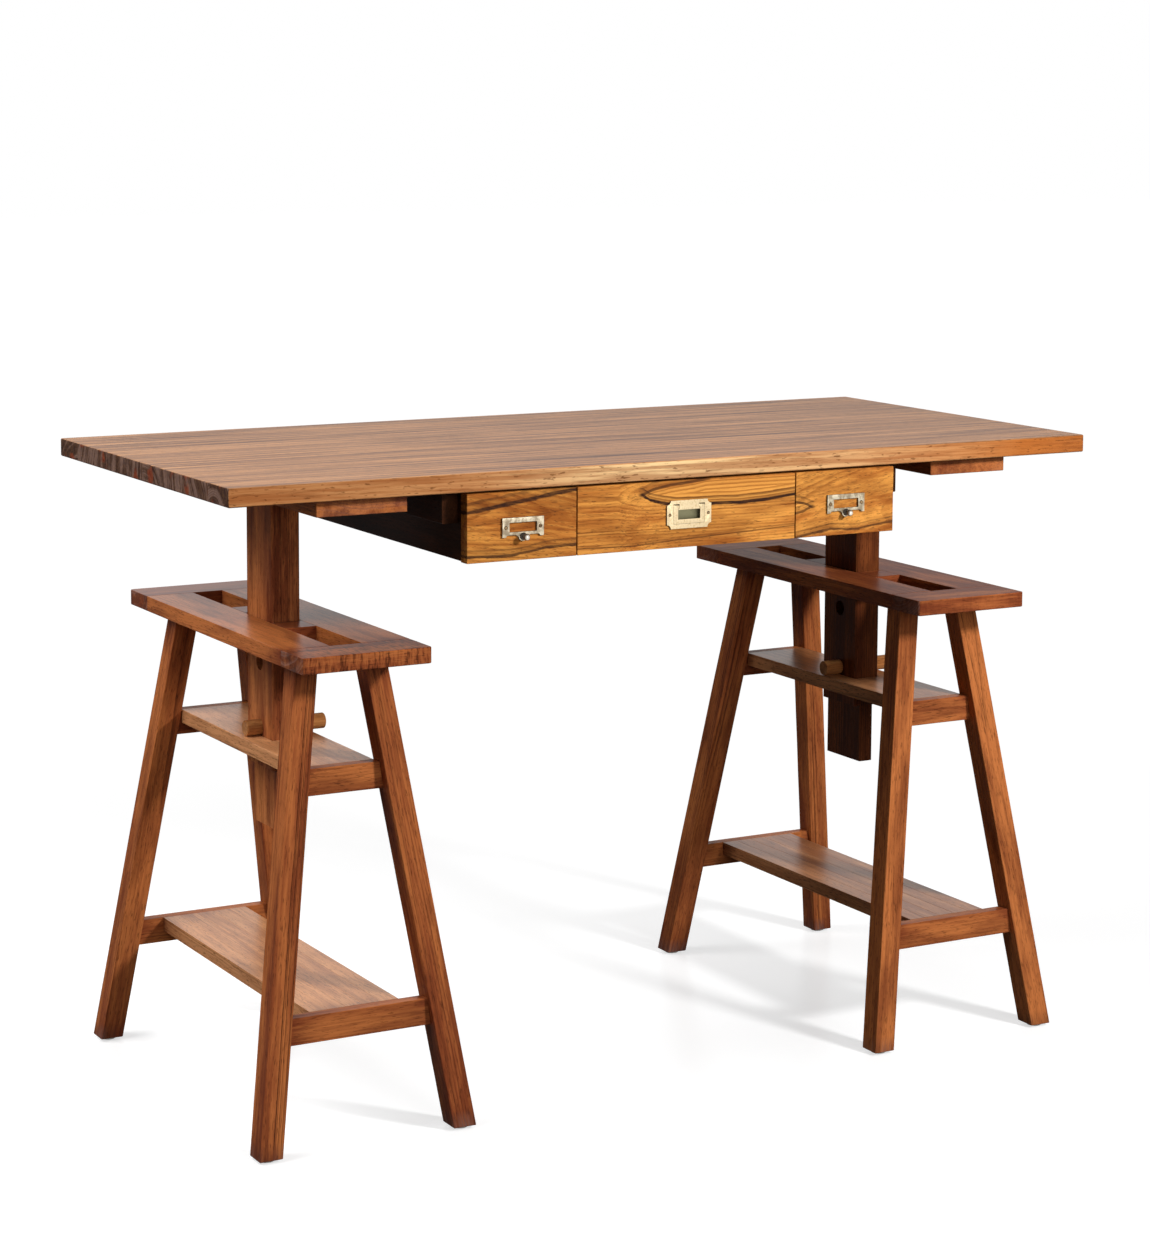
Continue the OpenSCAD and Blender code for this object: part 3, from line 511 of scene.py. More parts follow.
# %% [markdown]
# ## Boards
#
# A board is a block of cells: stops along its three sides make a lattice, and the skin is every
# quad between a cell that holds wood and one that doesn't. A pocket or an opening is a few cells
# without wood. Edges are rounded by pulling the skin in: near an edge, a point keeps its distance
# from the core of the board as measured to the nearest face, but along a straight line instead, so a
# square edge turns round. Real edges are never quite even, so slow waves vary the radius.

# %% Stops, skin and soft edges
def stops(low, high, edge, pitch, extra=()):
    """Places along one side: three close ones round each edge, some pitch apart between, and any extra."""
    bend = edge * (1 - np.tan(np.radians([45.0, 22.5])))
    count = max(1, int(round((high - low - 2 * edge) / pitch)))
    middle = np.linspace(low + edge, high - edge, count + 1)
    return np.unique(np.round(np.concatenate([low + bend, middle, high - bend, extra]), 5))


def skin(xs, ys, zs, wood):
    """Quads between the cells that hold wood and those that don't, each turned to face the empty side."""
    shape = (len(xs), len(ys), len(zs))
    held = np.pad(wood, 1).astype(np.int8)
    quads = []
    for a in range(3):
        inside = tuple(slice(None) if i == a else slice(1, -1) for i in range(3))
        change = np.diff(held, axis=a)[inside]
        b, c = np.eye(3, dtype=int)[[(a + 1) % 3, (a + 2) % 3]]
        for sign, order in ((-1, [0, 1, 2, 3]), (1, [3, 2, 1, 0])):
            at = np.argwhere(change == sign)
            ring = np.stack([at, at + b, at + b + c, at + c], 1)
            quads.append(np.ravel_multi_index(np.moveaxis(ring, 2, 0), shape)[:, order])
    used, quads = np.unique(np.concatenate(quads), return_inverse=True)
    i, j, k = np.unravel_index(used, shape)
    return np.stack([xs[i], ys[j], zs[k]], 1), quads.reshape(-1, 4)


def soften(points, low, high, radius):
    """Rounds a box's edges: with d the way from the core to a point, d is scaled by its largest part
    over its length. Faces stay where they are, and edges and corners become round."""
    core = np.clip(points, low + radius, high - radius)
    d = points - core
    length = np.linalg.norm(d, axis=1, keepdims=True)
    largest = np.abs(d).max(1, keepdims=True)
    return core + d * np.where(length > 1e-9, largest / np.maximum(length, 1e-9), 1)


def waves(points, length, seed):
    """A smooth uneven number from -1 to 1: the mean of five sine waves in random directions."""
    rng = np.random.default_rng(seed)
    ways = rng.normal(size=(5, 3))
    ways /= np.linalg.norm(ways, axis=1, keepdims=True)
    turns = 2 * np.pi / length / rng.uniform(0.7, 1.6, 5)
    return np.sin(points @ ways.T * turns + rng.uniform(0, 6.3, 5)).mean(1)


# %% [markdown]
# A board knows which way its grain runs, and where in the log it was cut. The heart of the log may
# lie far to the side, which gives straight lines on the face, or close behind the face and leaning,
# which gives the pointed arches of a flat-sawn board. The board's attributes are worked out from
# the same points, so the pattern goes with the wood wherever the board is put.

# %% A board as points, quads and attributes, in millimetres
WAVE_LENGTH, UNEVEN = 70, 0.3
ROUND_STOPS = np.array([0.25, 0.59, 1.0])
GRIME_AND_SHADE_REACH, VEIN_FADE, NO_VEIN = 16, 8, 9.0


def board(low, high, grain, heart, edge, pitch, tone, seed, face=2, outer=None, holes=(), veins=(),
          figure=0.0, raw=0.4, grime_and_shade=1.3, extra=((), (), ())):
    """low, high: corners. grain: the axis it runs along. face: the axis that its show face looks along.
    heart: how far the heart of the log lies from the board's middle, across and through, as two numbers
    or as a function of the place along it. outer: the box and edge of the whole that the board is part
    of. holes: boxes without wood. veins: up to three dark lines, each as places along, places across,
    a share and half a width. figure: how rippled it is. raw, grime: how strongly the end grain shows,
    and how much the tone darkens near each end, where the board meets another: partly dirt and partly
    painted shade. extra: more stops along each side."""
    low, high = np.array(low, float), np.array(high, float)
    more = [list(extra[a]) + [v for h in holes for v in (h[0][a], h[1][a]) if low[a] < v < high[a]]
            for a in range(3)]
    if outer is not None:
        whole_low, whole_high, whole_edge = np.array(outer[0], float), np.array(outer[1], float), outer[2]
        for a in range(3):
            for end, way in ((whole_low[a], 1), (whole_high[a], -1)):
                more[a] += [v for v in end + way * whole_edge * ROUND_STOPS
                            if low[a] + edge < v < high[a] - edge]
    xs, ys, zs = (stops(low[a], high[a], edge, pitch, more[a]) for a in range(3))
    mid = [(s[1:] + s[:-1]) / 2 for s in (xs, ys, zs)]
    wood = np.ones([len(m) for m in mid], bool)
    for lo, hi in holes:
        inside = [(m > lo[a]) & (m < hi[a]) for a, m in enumerate(mid)]
        wood[np.ix_(*inside)] = False
    flat, quads = skin(xs, ys, zs, wood)
    uneven = edge * (1 + UNEVEN * waves(flat, WAVE_LENGTH, seed))[:, None]
    points = soften(flat, low, high, uneven)
    if outer is not None:
        points = soften(points, whole_low, whole_high, whole_edge)
    middle, half = (low + high) / 2, (high - low) / 2
    side = 3 - grain - face
    own = (points - middle)[:, [grain, side, face]]
    across_heart, through_heart = heart(own[:, 0]) if callable(heart) else heart
    offset = np.random.default_rng(seed + 100).uniform(2000, 12000)
    log = np.stack([own[:, 0] + offset, own[:, 1] - across_heart, own[:, 2] - through_heart], 1)
    near_end = half[grain] - np.abs(flat - middle)[:, grain]
    ends = raw * np.clip(1 - near_end / (edge * 0.7), 0, 1)
    # darker near each end, where the board meets another: partly dirt and partly painted shade
    grimed_and_shaded = tone - grime_and_shade * np.exp(-near_end / GRIME_AND_SHADE_REACH)
    vein, share = np.full((len(own), 3), NO_VEIN), np.zeros((len(own), 3))
    for i, (along, at, strength, half_width) in enumerate(veins):
        vein[:, i] = (own[:, 1] - np.interp(own[:, 0], along, at)) / half_width
        inside = np.minimum(own[:, 0] - along[0], along[-1] - own[:, 0])
        share[:, i] = strength * np.clip(inside / VEIN_FADE + 1, 0, 1)
    return dict(points=points, quads=quads, log=log * MM, vein=vein, share=share,
                look=np.stack([grimed_and_shaded, ends, np.full(len(own), figure)], 1))


def moved(part, shift, matrix=np.eye(3)):
    """The same part put somewhere else: its points go through the matrix, then are shifted."""
    return {**part, "points": part["points"] @ matrix.T + np.array(shift, float)}


# %% [markdown]
# Several boards that belong to one CAD node are joined in one piece. A large flat face beside a
# narrow round edge should stay flat to the light, so each corner's normal is the mean of the faces
# that meet there, weighted by the square of their size.

# %% Boards into a Blender piece
def even_normals(points, faces):
    """The normal at a point: the sum over its faces of normal times area squared, made one long."""
    total = np.zeros_like(points)
    for corners in faces:
        first, last = points[corners[:, 0]], points[corners[:, -1]]
        face = np.cross(points[corners[:, 2]] - first, last - points[corners[:, 1]])
        face *= np.linalg.norm(face, axis=1, keepdims=True)
        for i in range(corners.shape[1]):
            np.add.at(total, corners[:, i], face)
    return total / np.maximum(np.linalg.norm(total, axis=1, keepdims=True), 1e-20)


def piece(name, parts, body, slot, stands_for, finish=None):
    """Joins parts, in millimetres, into one object at the origin that rides on a body."""
    shift, points, quads, tris, extra = 0, [], [], [], {}
    for part in parts:
        points.append(part["points"] * MM)
        quads.append(part["quads"] + shift)
        tris.append(part.get("tris", np.zeros((0, 3), int)) + shift)
        shift += len(part["points"])
        for key in ("log", "look", "vein", "share", "painted_shade"):
            if key in part:
                extra.setdefault(key, []).append(part[key])
    points, quads, tris = np.concatenate(points), np.concatenate(quads), np.concatenate(tris)
    mesh = bpy.data.meshes.new(name)
    mesh.from_pydata(points.tolist(), [], quads.tolist() + tris.tolist())
    for key, values in extra.items():
        made = mesh.attributes.new(key, "FLOAT_VECTOR", "POINT")
        made.data.foreach_set("vector", np.concatenate(values).astype(np.float32).ravel())
    mesh.shade_smooth()
    mesh.normals_split_custom_set_from_vertices(even_normals(points, [quads, tris]).tolist())
    mesh.materials.append(finish_of[finish or slot])
    made = bpy.data.objects.new(name, mesh)
    bpy.context.scene.collection.objects.link(made)
    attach(made, body)
    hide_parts(*stands_for)
    print(f"{name}: {len(parts)} parts, {len(quads) + len(tris)} faces")


# %% [markdown]
# ## Desktop
#
# The top is glued up from narrow boards that run its whole length. Each is a closed board of its
# own with a hair of rounding along the glue line, and the rounding of the whole top is laid over
# all of them. The left end shows why each board needs its own place in a log: every one has its
# own arcs and its own colour there. The front edge of the first one gets the golden tone, and how
# pale the gold is changes along it; the pale part is partly a painted highlight.

# %% Eight boards, one top
def leaning(across, through, slope_across, slope_through):
    """The heart of a log that isn't quite straight: its place changes evenly along the board."""
    return lambda x: (across - slope_across * x, through - slope_through * x)


DESK_LOW, DESK_HIGH = np.array([-740.0, -342.0, 944.0]), np.array([740.0, 342.0, 972.0])
DESK_EDGE, FRONT_SKIN = 2.5, 0.3
widths = np.array([74, 96, 88, 70, 102, 84, 92, 78])
seams = DESK_LOW[1] + np.concatenate([[0], np.cumsum(widths)])
hearts = [(10, -40), (110, -60), (-220, 20), (30, -60), (200, 30), (-190, -20), (120, 40), (-30, -50)]
tones = [0.2, -0.1, 0.2, -0.4, 0.1, 0.4, -0.2, 0.1]
top_boards = [
    board((DESK_LOW[0], seams[i], DESK_LOW[2]), (DESK_HIGH[0], seams[i + 1], DESK_HIGH[2]), grain=0,
          edge=0.35, pitch=30, heart=leaning(*hearts[i], 0.006 * (-1) ** i, 0.012), tone=tones[i],
          seed=10 + i, outer=(DESK_LOW, DESK_HIGH, DESK_EDGE), raw=1.0, grime_and_shade=0.0)
    for i in range(len(widths))]
front_x, front_y = top_boards[0]["points"][:, :2].T
# how pale the gold is along the front edge: partly a painted highlight, palest near the middle
golden = np.interp(front_x, (-740, -350, -50, 200, 700), (1.95, 2.02, 2.65, 2.3, 1.7))
top_boards[0]["look"][:, 0] += golden * (front_y < DESK_LOW[1] + FRONT_SKIN)
piece("desktop_boards", top_boards, "desk", "top_wood", stands_for=["desktop"])

# %% [markdown]
# ## Bearers
#
# A broad flat board under each end of the desktop takes the screws and the tenon of the post.

# %% Two bearers
TRESTLE_X = 527.0
BEARER_X, BEARER_Y, BEARER_Z = 71, 320, 919.2
# painted light: the bearers' pale tone of 0.7 brightens them where the desktop shades them
for side, x, seed in (("left", -TRESTLE_X, 30), ("right", TRESTLE_X, 31)):
    low, high = (x - BEARER_X, -BEARER_Y, BEARER_Z), (x + BEARER_X, BEARER_Y, DESK_LOW[2])
    piece(f"{side}_bearer_board",
          [board(low, high, grain=1, heart=(30, 400), edge=1.5, pitch=30, tone=0.7, seed=seed,
                 raw=0.15, grime_and_shade=0.3)], "desk", "trestle_wood", stands_for=[f"{side}_bearer"])

# %% [markdown]
# ## Trestles
#
# Each trestle top is two rails with a board across each end and a block on either side of the
# post. The legs lean outwards both ways. A leg is a straight bar cut off level at both ends, so in
# plan its section is the bar's section stretched along the lean: three vectors, one for each side
# of the bar and one up its length, carry an upright board into a leg.

# %% Leg geometry: the lean, and the middle of a leg at any height
TOP_LOW, TOP_HIGH = 700.0, 724.0
HEAD_X, HEAD_Y, FOOT_X, FOOT_Y = 72.0, 246.0, 173.0, 341.0
LEG_X, LEG_Y, GLIDE_H = 36.0, 37.0, 4.0
SCUFFED_H, SCUFF = 16, 0.45
slope = np.array([(FOOT_X - HEAD_X) / TOP_LOW, (FOOT_Y - HEAD_Y) / TOP_LOW])
turn_y = -np.arctan(slope[0])
turn_x = np.arcsin(slope[1] / np.sqrt(1 + slope @ slope))
spin_y = np.array(Matrix.Rotation(turn_y, 3, "Y"))
spin_x = np.array(Matrix.Rotation(turn_x, 3, "X"))
bar = spin_y @ spin_x
side_x = bar[:, 0] - bar[:, 2] * bar[2, 0] / bar[2, 2]
side_y = bar[:, 1] - bar[:, 2] * bar[2, 1] / bar[2, 2]
half_leg = np.array([LEG_X / 2 / np.cos(turn_y), LEG_Y / 2 / np.cos(turn_x)])


def leg_middle(z):
    """Middle of the leg on the positive side of x and y, at height z."""
    return np.array([HEAD_X, HEAD_Y]) - half_leg + (TOP_LOW - z) * slope


def leg(sx, sy, **cut):
    """An upright bar from the glide to the trestle's top, carried into the leg at corner sx, sy."""
    upright_bar = board((-LEG_X / 2, -LEG_Y / 2, GLIDE_H), (LEG_X / 2, LEG_Y / 2, TOP_LOW), grain=2,
                        face=1, edge=1.5, pitch=24, **cut)
    scuffed = np.clip(1 - (upright_bar["points"][:, 2] - GLIDE_H) / SCUFFED_H, 0, 1)
    upright_bar["look"][:, 1] = np.maximum(upright_bar["look"][:, 1], SCUFF * scuffed)
    flip = np.array([sx, sy, 1.0])
    columns = np.stack([flip * side_x * sx, flip * side_y * sy,
                        flip * np.array([-slope[0], -slope[1], 1.0])], 1)
    return moved(upright_bar, np.array([*leg_middle(0.0), 0.0]) * flip, columns)


print("lean of a leg:", np.round(np.degrees([turn_x, turn_y]), 2), "degrees")

# %% [markdown]
# The corners of the trestle top are rounded in plan as well. The same pull does that: within a
# corner's square, a point keeps its distance along a straight line from the square's inner corner.

# %% The boards of a trestle's top
OPENING_X, OPENING_Y = 24.5, 50.5
TOP_X, TOP_Y, END_BOARD, BLOCK = 102.0, 339.0, 76.0, 54.0
PLAN_RADIUS = 6.0
CORNER_STOPS = np.array([-6.0, -4.0, -2.4])
RAIL_Y = TOP_Y - END_BOARD


def plan_rounded(part, sy):
    """Rounds the two outer corners of an end board, seen from above."""
    p = part["points"].copy()
    d = np.stack([np.abs(p[:, 0]) - (TOP_X - PLAN_RADIUS), sy * p[:, 1] - (TOP_Y - PLAN_RADIUS)], 1)
    at = (d > 0).all(1)
    pulled = d[at] * (d[at].max(1) / np.linalg.norm(d[at], axis=1))[:, None]
    p[at, 0] = np.sign(p[at, 0]) * (pulled[:, 0] + TOP_X - PLAN_RADIUS)
    p[at, 1] = sy * (pulled[:, 1] + TOP_Y - PLAN_RADIUS)
    return {**part, "points": p}


def rails(seed, tone):
    """The two long boards, with the slot of the post between them."""
    right, left = leaning(50, 34, 0.01, 0.02), leaning(-44, -40, 0.01, 0.015)
    return [board((low_x, -RAIL_Y, TOP_LOW), (high_x, RAIL_Y, TOP_HIGH), grain=1, heart=heart,
                  edge=1.2, pitch=26, tone=tone + i * 0.1, seed=seed + i)
            for i, (low_x, high_x, heart) in enumerate(((OPENING_X, TOP_X, right),
                                                        (-TOP_X, -OPENING_X, left)))]


def crosspieces(seed, tone, figure):
    """The end boards, of which the front one may be rippled, and the blocks beside the post."""
    made = []
    for sy, shown in ((-1, figure), (1, 0.0)):
        low_y, high_y = sorted([sy * RAIL_Y, sy * TOP_Y])
        corners = ([*(TOP_X + CORNER_STOPS), *-(TOP_X + CORNER_STOPS)], sy * (TOP_Y + CORNER_STOPS), ())
        end = board((-TOP_X, low_y, TOP_LOW), (TOP_X, high_y, TOP_HIGH), grain=0, heart=(26, 60),
                    edge=1.4, pitch=22, tone=tone, seed=seed + sy, figure=shown, extra=corners)
        low_y, high_y = sorted([sy * OPENING_Y, sy * (OPENING_Y + BLOCK)])
        made += [plan_rounded(end, sy),
                 board((-OPENING_X, low_y, TOP_LOW), (OPENING_X, high_y, TOP_HIGH), grain=0,
                       heart=(20, 30), edge=0.7, pitch=20, tone=tone - 0.2, seed=seed + 4 + sy)]
    return made


# %% [markdown]
# ## Stretchers and shelves
#
# A stretcher joins two legs and is cut to their lean, so it is a little wider at its foot: its
# points are spread along x in proportion to the space between the legs at their height. The middle
# shelf is one board with an opening for the post, and the low shelf is five narrow boards.

# %% Stretchers cut to the lean, shelves and their boards
STRETCHER_H, SHELF_T = 40.0, 22.0
MID_Z, LOW_Z = 544.0, 196.0
MID_STRETCHER, LOW_STRETCHER = (18.0, 14.5), (20.0, 7.5)
MID_SHELF_X, LOW_SHELF_X = 57.5, 71.0
INTO_LEG = 1.0


def stretcher_y(z, thick, inset):
    """Inner and outer face of a stretcher whose top is at z."""
    outer = leg_middle(z)[1] + half_leg[1] - inset
    return outer - thick, outer


def stretcher(sy, z, cut, seed):
    """Its points are spread: x * (1 + depth below the top * the legs' slope / reach)."""
    low_y, high_y = sorted(sy * y for y in stretcher_y(z, *cut))
    reach = leg_middle(z)[0] - half_leg[0] + INTO_LEG
    made = board((-reach, low_y, z - STRETCHER_H), (reach, high_y, z), grain=0, heart=(30, 44),
                 edge=1.2, pitch=24, tone=0.7, seed=seed)
    made["points"][:, 0] *= 1 + (z - made["points"][:, 2]) * slope[0] / reach
    return made


def mid_shelf(seed, tone):
    """One board between the middle stretchers, with the post's opening as a hole."""
    y = stretcher_y(MID_Z, *MID_STRETCHER)[0]
    hole = ((-OPENING_X, -OPENING_Y, 0), (OPENING_X, OPENING_Y, MID_Z + 1))
    return [board((-MID_SHELF_X, -y, MID_Z - SHELF_T), (MID_SHELF_X, y, MID_Z), grain=1,
                  heart=leaning(16, 50, 0, 0.03), edge=1.4, pitch=24, tone=tone, seed=seed,
                  holes=[hole])]


def low_shelf(seed, tones, edge):
    """One narrow board for each tone, side by side between the low stretchers."""
    y = stretcher_y(LOW_Z, *LOW_STRETCHER)[0]
    x = np.linspace(-LOW_SHELF_X, LOW_SHELF_X, len(tones) + 1)
    return [board((x[i], -y, LOW_Z - SHELF_T), (x[i + 1], y, LOW_Z), grain=1,
                  heart=(14 + 9 * i, 40 - 12 * i), edge=edge, pitch=26, tone=tones[i], seed=seed + i)
            for i in range(len(tones))]


# %% [markdown]
# The two trestles were not cut from the same wood, nor worn alike. Each side's tones go from dark
# to pale through 0, and its dark lines run where the photograph shows them on the front legs. The
# left side's pale tone for its rails and middle shelf is also painted light, which the lamps don't
# bring under the desktop and the trestle top.

# %% Both trestles
FULL_LENGTH, LOWER_END = (-340, 0, 340), (150, 250, 340)
SIDES = {
    "left": dict(
        # painted light: the left tone of 0.9 brightens the rails and the middle shelf
        x=-TRESTLE_X, seed=200, tone=0.9, top_finish="polished_wood", end_tone=-0.6, end_figure=0.6,
        leg_tones=(0.1, -0.5, 0.4, 0.1), low_tones=(0.9, 0.6, 0.8, 0.5, 0.9), low_edge=0.35,
        veins={"front_outer": [(FULL_LENGTH, (2.0, 1.0, 3.5), 0.85, 0.7),
                               (FULL_LENGTH, (8.0, 6.5, 9.0), 0.7, 0.6),
                               (FULL_LENGTH, (13.5, 14.5, 14.0), 0.6, 0.9)],
               "front_inner": [(FULL_LENGTH, (-9.0, -12.0, -6.0), 0.4, 0.8)]}),
    "right": dict(
        x=TRESTLE_X, seed=300, tone=-0.4, top_finish="trestle_wood", end_tone=-0.2, end_figure=0.1,
        leg_tones=(1.4, 1.5, 0.2, 0.1), low_tones=(-0.3, -0.9, -0.5, -1.0, -0.3), low_edge=0.7,
        veins={"front_outer": [(LOWER_END, (-2.0, -8.0, -12.0), 0.5, 0.9),
                               (LOWER_END, (-2.0, 6.0, 12.0), 0.5, 0.9)]})}


def trestle_piece(side, name, parts, node, slot="trestle_wood", finish=None):
    """A piece of one trestle: its boards are shifted to that side, and it rides on that trestle."""
    piece(f"{side}_{name}", [moved(part, (SIDES[side]["x"], 0, 0)) for part in parts],
          f"{side}_trestle", slot, stands_for=[f"{side}_{node}"], finish=finish)


for side, its in SIDES.items():
    seed, tone, top_finish = its["seed"], its["tone"], its["top_finish"]
    trestle_piece(side, "rails", rails(seed, tone), "top_rails", finish=top_finish)
    trestle_piece(side, "end_boards", crosspieces(seed + 10, its["end_tone"], its["end_figure"]),
                  "top_crosspieces", finish=top_finish)
    outward = int(np.sign(its["x"]))
    for i, (place, sx, sy, heart) in enumerate((
            ("front_outer", outward, -1, (24, 30)), ("front_inner", -outward, -1, (-60, 20)),
            ("back_outer", outward, 1, (18, -44)), ("back_inner", -outward, 1, (40, 52)))):
        bar_cut = leg(sx, sy, heart=leaning(*heart, 0.004, -0.006), tone=its["leg_tones"][i],
                      seed=seed + 20 + i, veins=its["veins"].get(place, ()))
        trestle_piece(side, f"{place}_bar", [bar_cut], f"{place}_leg")
    for level_name, z, cut, more in (("mid", MID_Z, MID_STRETCHER, 40), ("low", LOW_Z, LOW_STRETCHER, 50)):
        trestle_piece(side, f"{level_name}_rungs",
                      [stretcher(sy, z, cut, seed + more + sy) for sy in (-1, 1)],
                      f"{level_name}_stretchers")
    trestle_piece(side, "mid_board", mid_shelf(seed + 60, tone), "mid_shelf", "shelf_wood")
    trestle_piece(side, "low_boards", low_shelf(seed + 70, its["low_tones"], its["low_edge"]),
                  "low_shelf", "shelf_wood")

# %% [markdown]
# ## Pegs
#
# A peg is a turned dowel with its ends eased. It is a profile, a row of distances along the axis
# and radii, carried round the axis. The first and the last ring shrink to one point each, so the
# ends are closed. Its end grain is the same log pattern, cut across.

# %% Turned shapes
def closed_tube(rings, around):
    """Quads between neighbouring rings of `around` points, and triangles from the first and the last
    ring to a pole each. The two poles come after the rings' points."""
    i, j = np.meshgrid(np.arange(rings - 1), np.arange(around), indexing="ij")
    k = (j + 1) % around
    quads = np.stack([i * around + j, i * around + k, (i + 1) * around + k, (i + 1) * around + j], -1)
    j, k, last, pole = j[0], k[0], (rings - 1) * around, np.full(around, rings * around)
    tris = [np.stack([pole, k, j], 1), np.stack([pole + 1, last + j, last + k], 1)]
    return dict(quads=quads.reshape(-1, 4), tris=np.concatenate(tris))


def turned(profile, around=40):
    """A profile of (place along the axis, radius) carried round x: y = radius * cos, z = radius * sin.
    The first and the last radius are zero, and each of those rings is a single point."""
    profile = np.array(profile, float)
    angle = np.linspace(0, 2 * np.pi, around, endpoint=False)
    inner = profile[1:-1]
    rings = np.stack([np.repeat(inner[:, 0], around), np.outer(inner[:, 1], np.cos(angle)).ravel(),
                      np.outer(inner[:, 1], np.sin(angle)).ravel()], 1)
    points = np.concatenate([rings, [[profile[0, 0], 0, 0], [profile[-1, 0], 0, 0]]])
    return dict(points=points, **closed_tube(len(inner), around))


def arc(centre, radius, start, stop, count):
    """Points on a circle in the plane of (along, radius), from one angle to another in degrees."""
    t = np.radians(np.linspace(start, stop, count))
    return [(centre[0] + radius * np.cos(v), centre[1] + radius * np.sin(v)) for v in t]


PEG_R, PEG_LENGTH, PEG_Z, PEG_EASE = 12.0, 130.0, 556.3, 1.5
PEG_TONE, PEG_RAW = 0.2, 0.2


def peg(centre_x, seed):
    """A stem of one radius, with a quarter circle to each flat end."""
    half = PEG_LENGTH / 2
    end = arc((half - PEG_EASE, PEG_R - PEG_EASE), PEG_EASE, 0, 90, 5)
    stem = [(v, PEG_R) for v in np.linspace(half - 6, -half + 6, 12)]
    near = [(half, 0), (half, 5.0), (half, PEG_R - PEG_EASE - 0.4), *end]
    shape = turned(near + stem + [(-v, r) for v, r in reversed(near)], 48)
    own = shape["points"]
    cut_off = (np.abs(own[:, 0]) > half - 0.05) * PEG_RAW
    shape["log"] = (own + (seed * 700, 9.0, 3.0)) * MM
    shape["look"] = np.stack([np.full(len(own), PEG_TONE), cut_off, np.zeros(len(own))], 1)
    shape["vein"], shape["share"] = np.ones_like(own), np.zeros_like(own)
    return moved(shape, (centre_x, 0, PEG_Z))


for side, x, seed in (("left", -510.0, 3), ("right", 537.0, 5)):
    piece(f"{side}_peg_dowel", [peg(x, seed)], f"{side}_peg", "peg_wood", stands_for=[f"{side}_peg"])

# %% [markdown]
# ## Drawer fronts
#
# The three fronts are cut from one golden board. The middle one shows a flat-sawn arch: the heart
# of the log comes towards the face from the left, so its rings open as nested tongues to the right.
# The boldest dark lines are drawn as veins, each a row of points along the board and across it. The
# lattice is fine here, because a vein is a distance that is blended from corner to corner. The
# middle front has a pocket for the cup of the pull.

# %% Three fronts with their veins
FRONT_Y, FRONT_Z = (-340.5, -320.5), (840.0, 941.0)
ARCH_AT, ARCH_FADE, ARCH_HEIGHT = -75.0, 80.0, 33.0


def arching(x):
    """The heart comes nearer to the face as exp(-x), so the ring of each size makes a tongue."""
    return ARCH_HEIGHT + 0 * x, -(2 + 15 * np.exp(-(np.maximum(x, ARCH_AT - 45) - ARCH_AT) / ARCH_FADE))


fronts = {
    "left": ((-371.0, -191.0), leaning(20, -64, 0.16, 0.1), -0.25, [
        ((-90, -33, 8, 44, 90), (24, 31, 36.5, 42.5, 48), 1.0, 3.5),
        ((-90, -50, -18, 13, 38, 90), (-41, -42.5, -43, -39, -34.5, -33), 0.9, 2.4),
        ((-90, -20, 40, 90), (3, 8, 16, 22), 0.3, 1.2)]),
    "middle": ((-189.5, 189.5), arching, 0.3, [
        ((-80, -67, -43, -21, 10, 48, 87, 142, 190), (33, 24, 17.9, 14, 13, 13, 11.4, 13.5, 18), 1.1, 2.7),
        ((-80, -62, -32, 11, 30), (33, 39.5, 44.5, 48, 51), 0.85, 2.6),
        ((-190, -100, 0, 100, 190), (-41, -43, -38, -34, -30), 0.7, 1.0)]),
    "right": ((191.0, 371.0), leaning(-24, 60, -0.1, 0.15), 0.05, [
        ((-90, -75, -62), (5.6, 2.8, -3.5), 0.9, 2.6),
        ((-90, -75, -62), (-12.7, -9.5, -3.5), 0.8, 2.4),
        ((-88, -48, -25, 20, 50, 90), (-49, -42.5, -40, -44, -39.5, -35), 0.85, 2.2)])}
POCKET = (-28.6, FRONT_Y[0] - 1, 874.2), (28.6, FRONT_Y[0] + 10, 907.3)
for side, (x, heart, tone, veins) in fronts.items():
    low, high = (x[0], FRONT_Y[0], FRONT_Z[0]), (x[1], FRONT_Y[1], FRONT_Z[1])
    piece(f"{side}_front_board",
          [board(low, high, grain=0, face=1, heart=heart, edge=1.0, pitch=3.5, tone=tone, grime_and_shade=0.0,
                 seed=400 + len(side), veins=veins, holes=[POCKET] if side == "middle" else [])],
          f"{side}_drawer", "front_wood", stands_for=[f"{side}_drawer_front"])

# %% [markdown]
# ## Knobs and screws
#
# A knob is a turned post with a flared foot and a ball. It is the same kind of profile as a peg,
# turned about the way that the drawer opens. A screw is a low dome with a slot: its height at each
# point is the dome less a trough along one line, and each slot points its own way.

# %% Knobs and screw heads
HOLDER_X, HOLDER_Z, HOLDER_FACE = 281.0, 889.0, 3.2
FROM_FACE = np.array([[0, 1, 0], [-1, 0, 0], [0, 0, 1]], float)
KNOB_BELOW = 13.75
SLOT_HALF, SLOT_SIDE = 0.42, 0.14


def painted_shade_at(tarnish):
    """One number for each point, as the vector that an attribute holds."""
    return np.repeat(np.asarray(tarnish, float)[:, None], 3, 1)


def knob():
    """A cone from 5.5 to 2.4 over 3, a stem of 2.4 and a ball of 5 whose middle is 14 out, in mm.
    The stem and the sides of the ball get painted shade, and the front of the ball stays bright as a
    painted highlight."""
    start = np.degrees(np.pi - np.arcsin(2.4 / 5))
    made = turned([(HOLDER_FACE, 0), (HOLDER_FACE, 5.2), (3.5, 5.5), (4.1, 5.2), (5.0, 3.7), (6.0, 2.7),
                   (6.8, 2.4), *arc((14.0, 0), 5.0, start, 4, 22), (19.0, 0)])
    out, off_axis = made["points"][:, 0], np.hypot(*made["points"][:, 1:].T)
    # painted shade on the stem and the sides of the ball; the bright front of the ball is a painted highlight
    made["painted_shade"] = painted_shade_at(np.maximum(np.clip((12 - out) / 2, 0, 1), np.clip(off_axis / 1.5 - 2, 0, 0.85)))
    return made


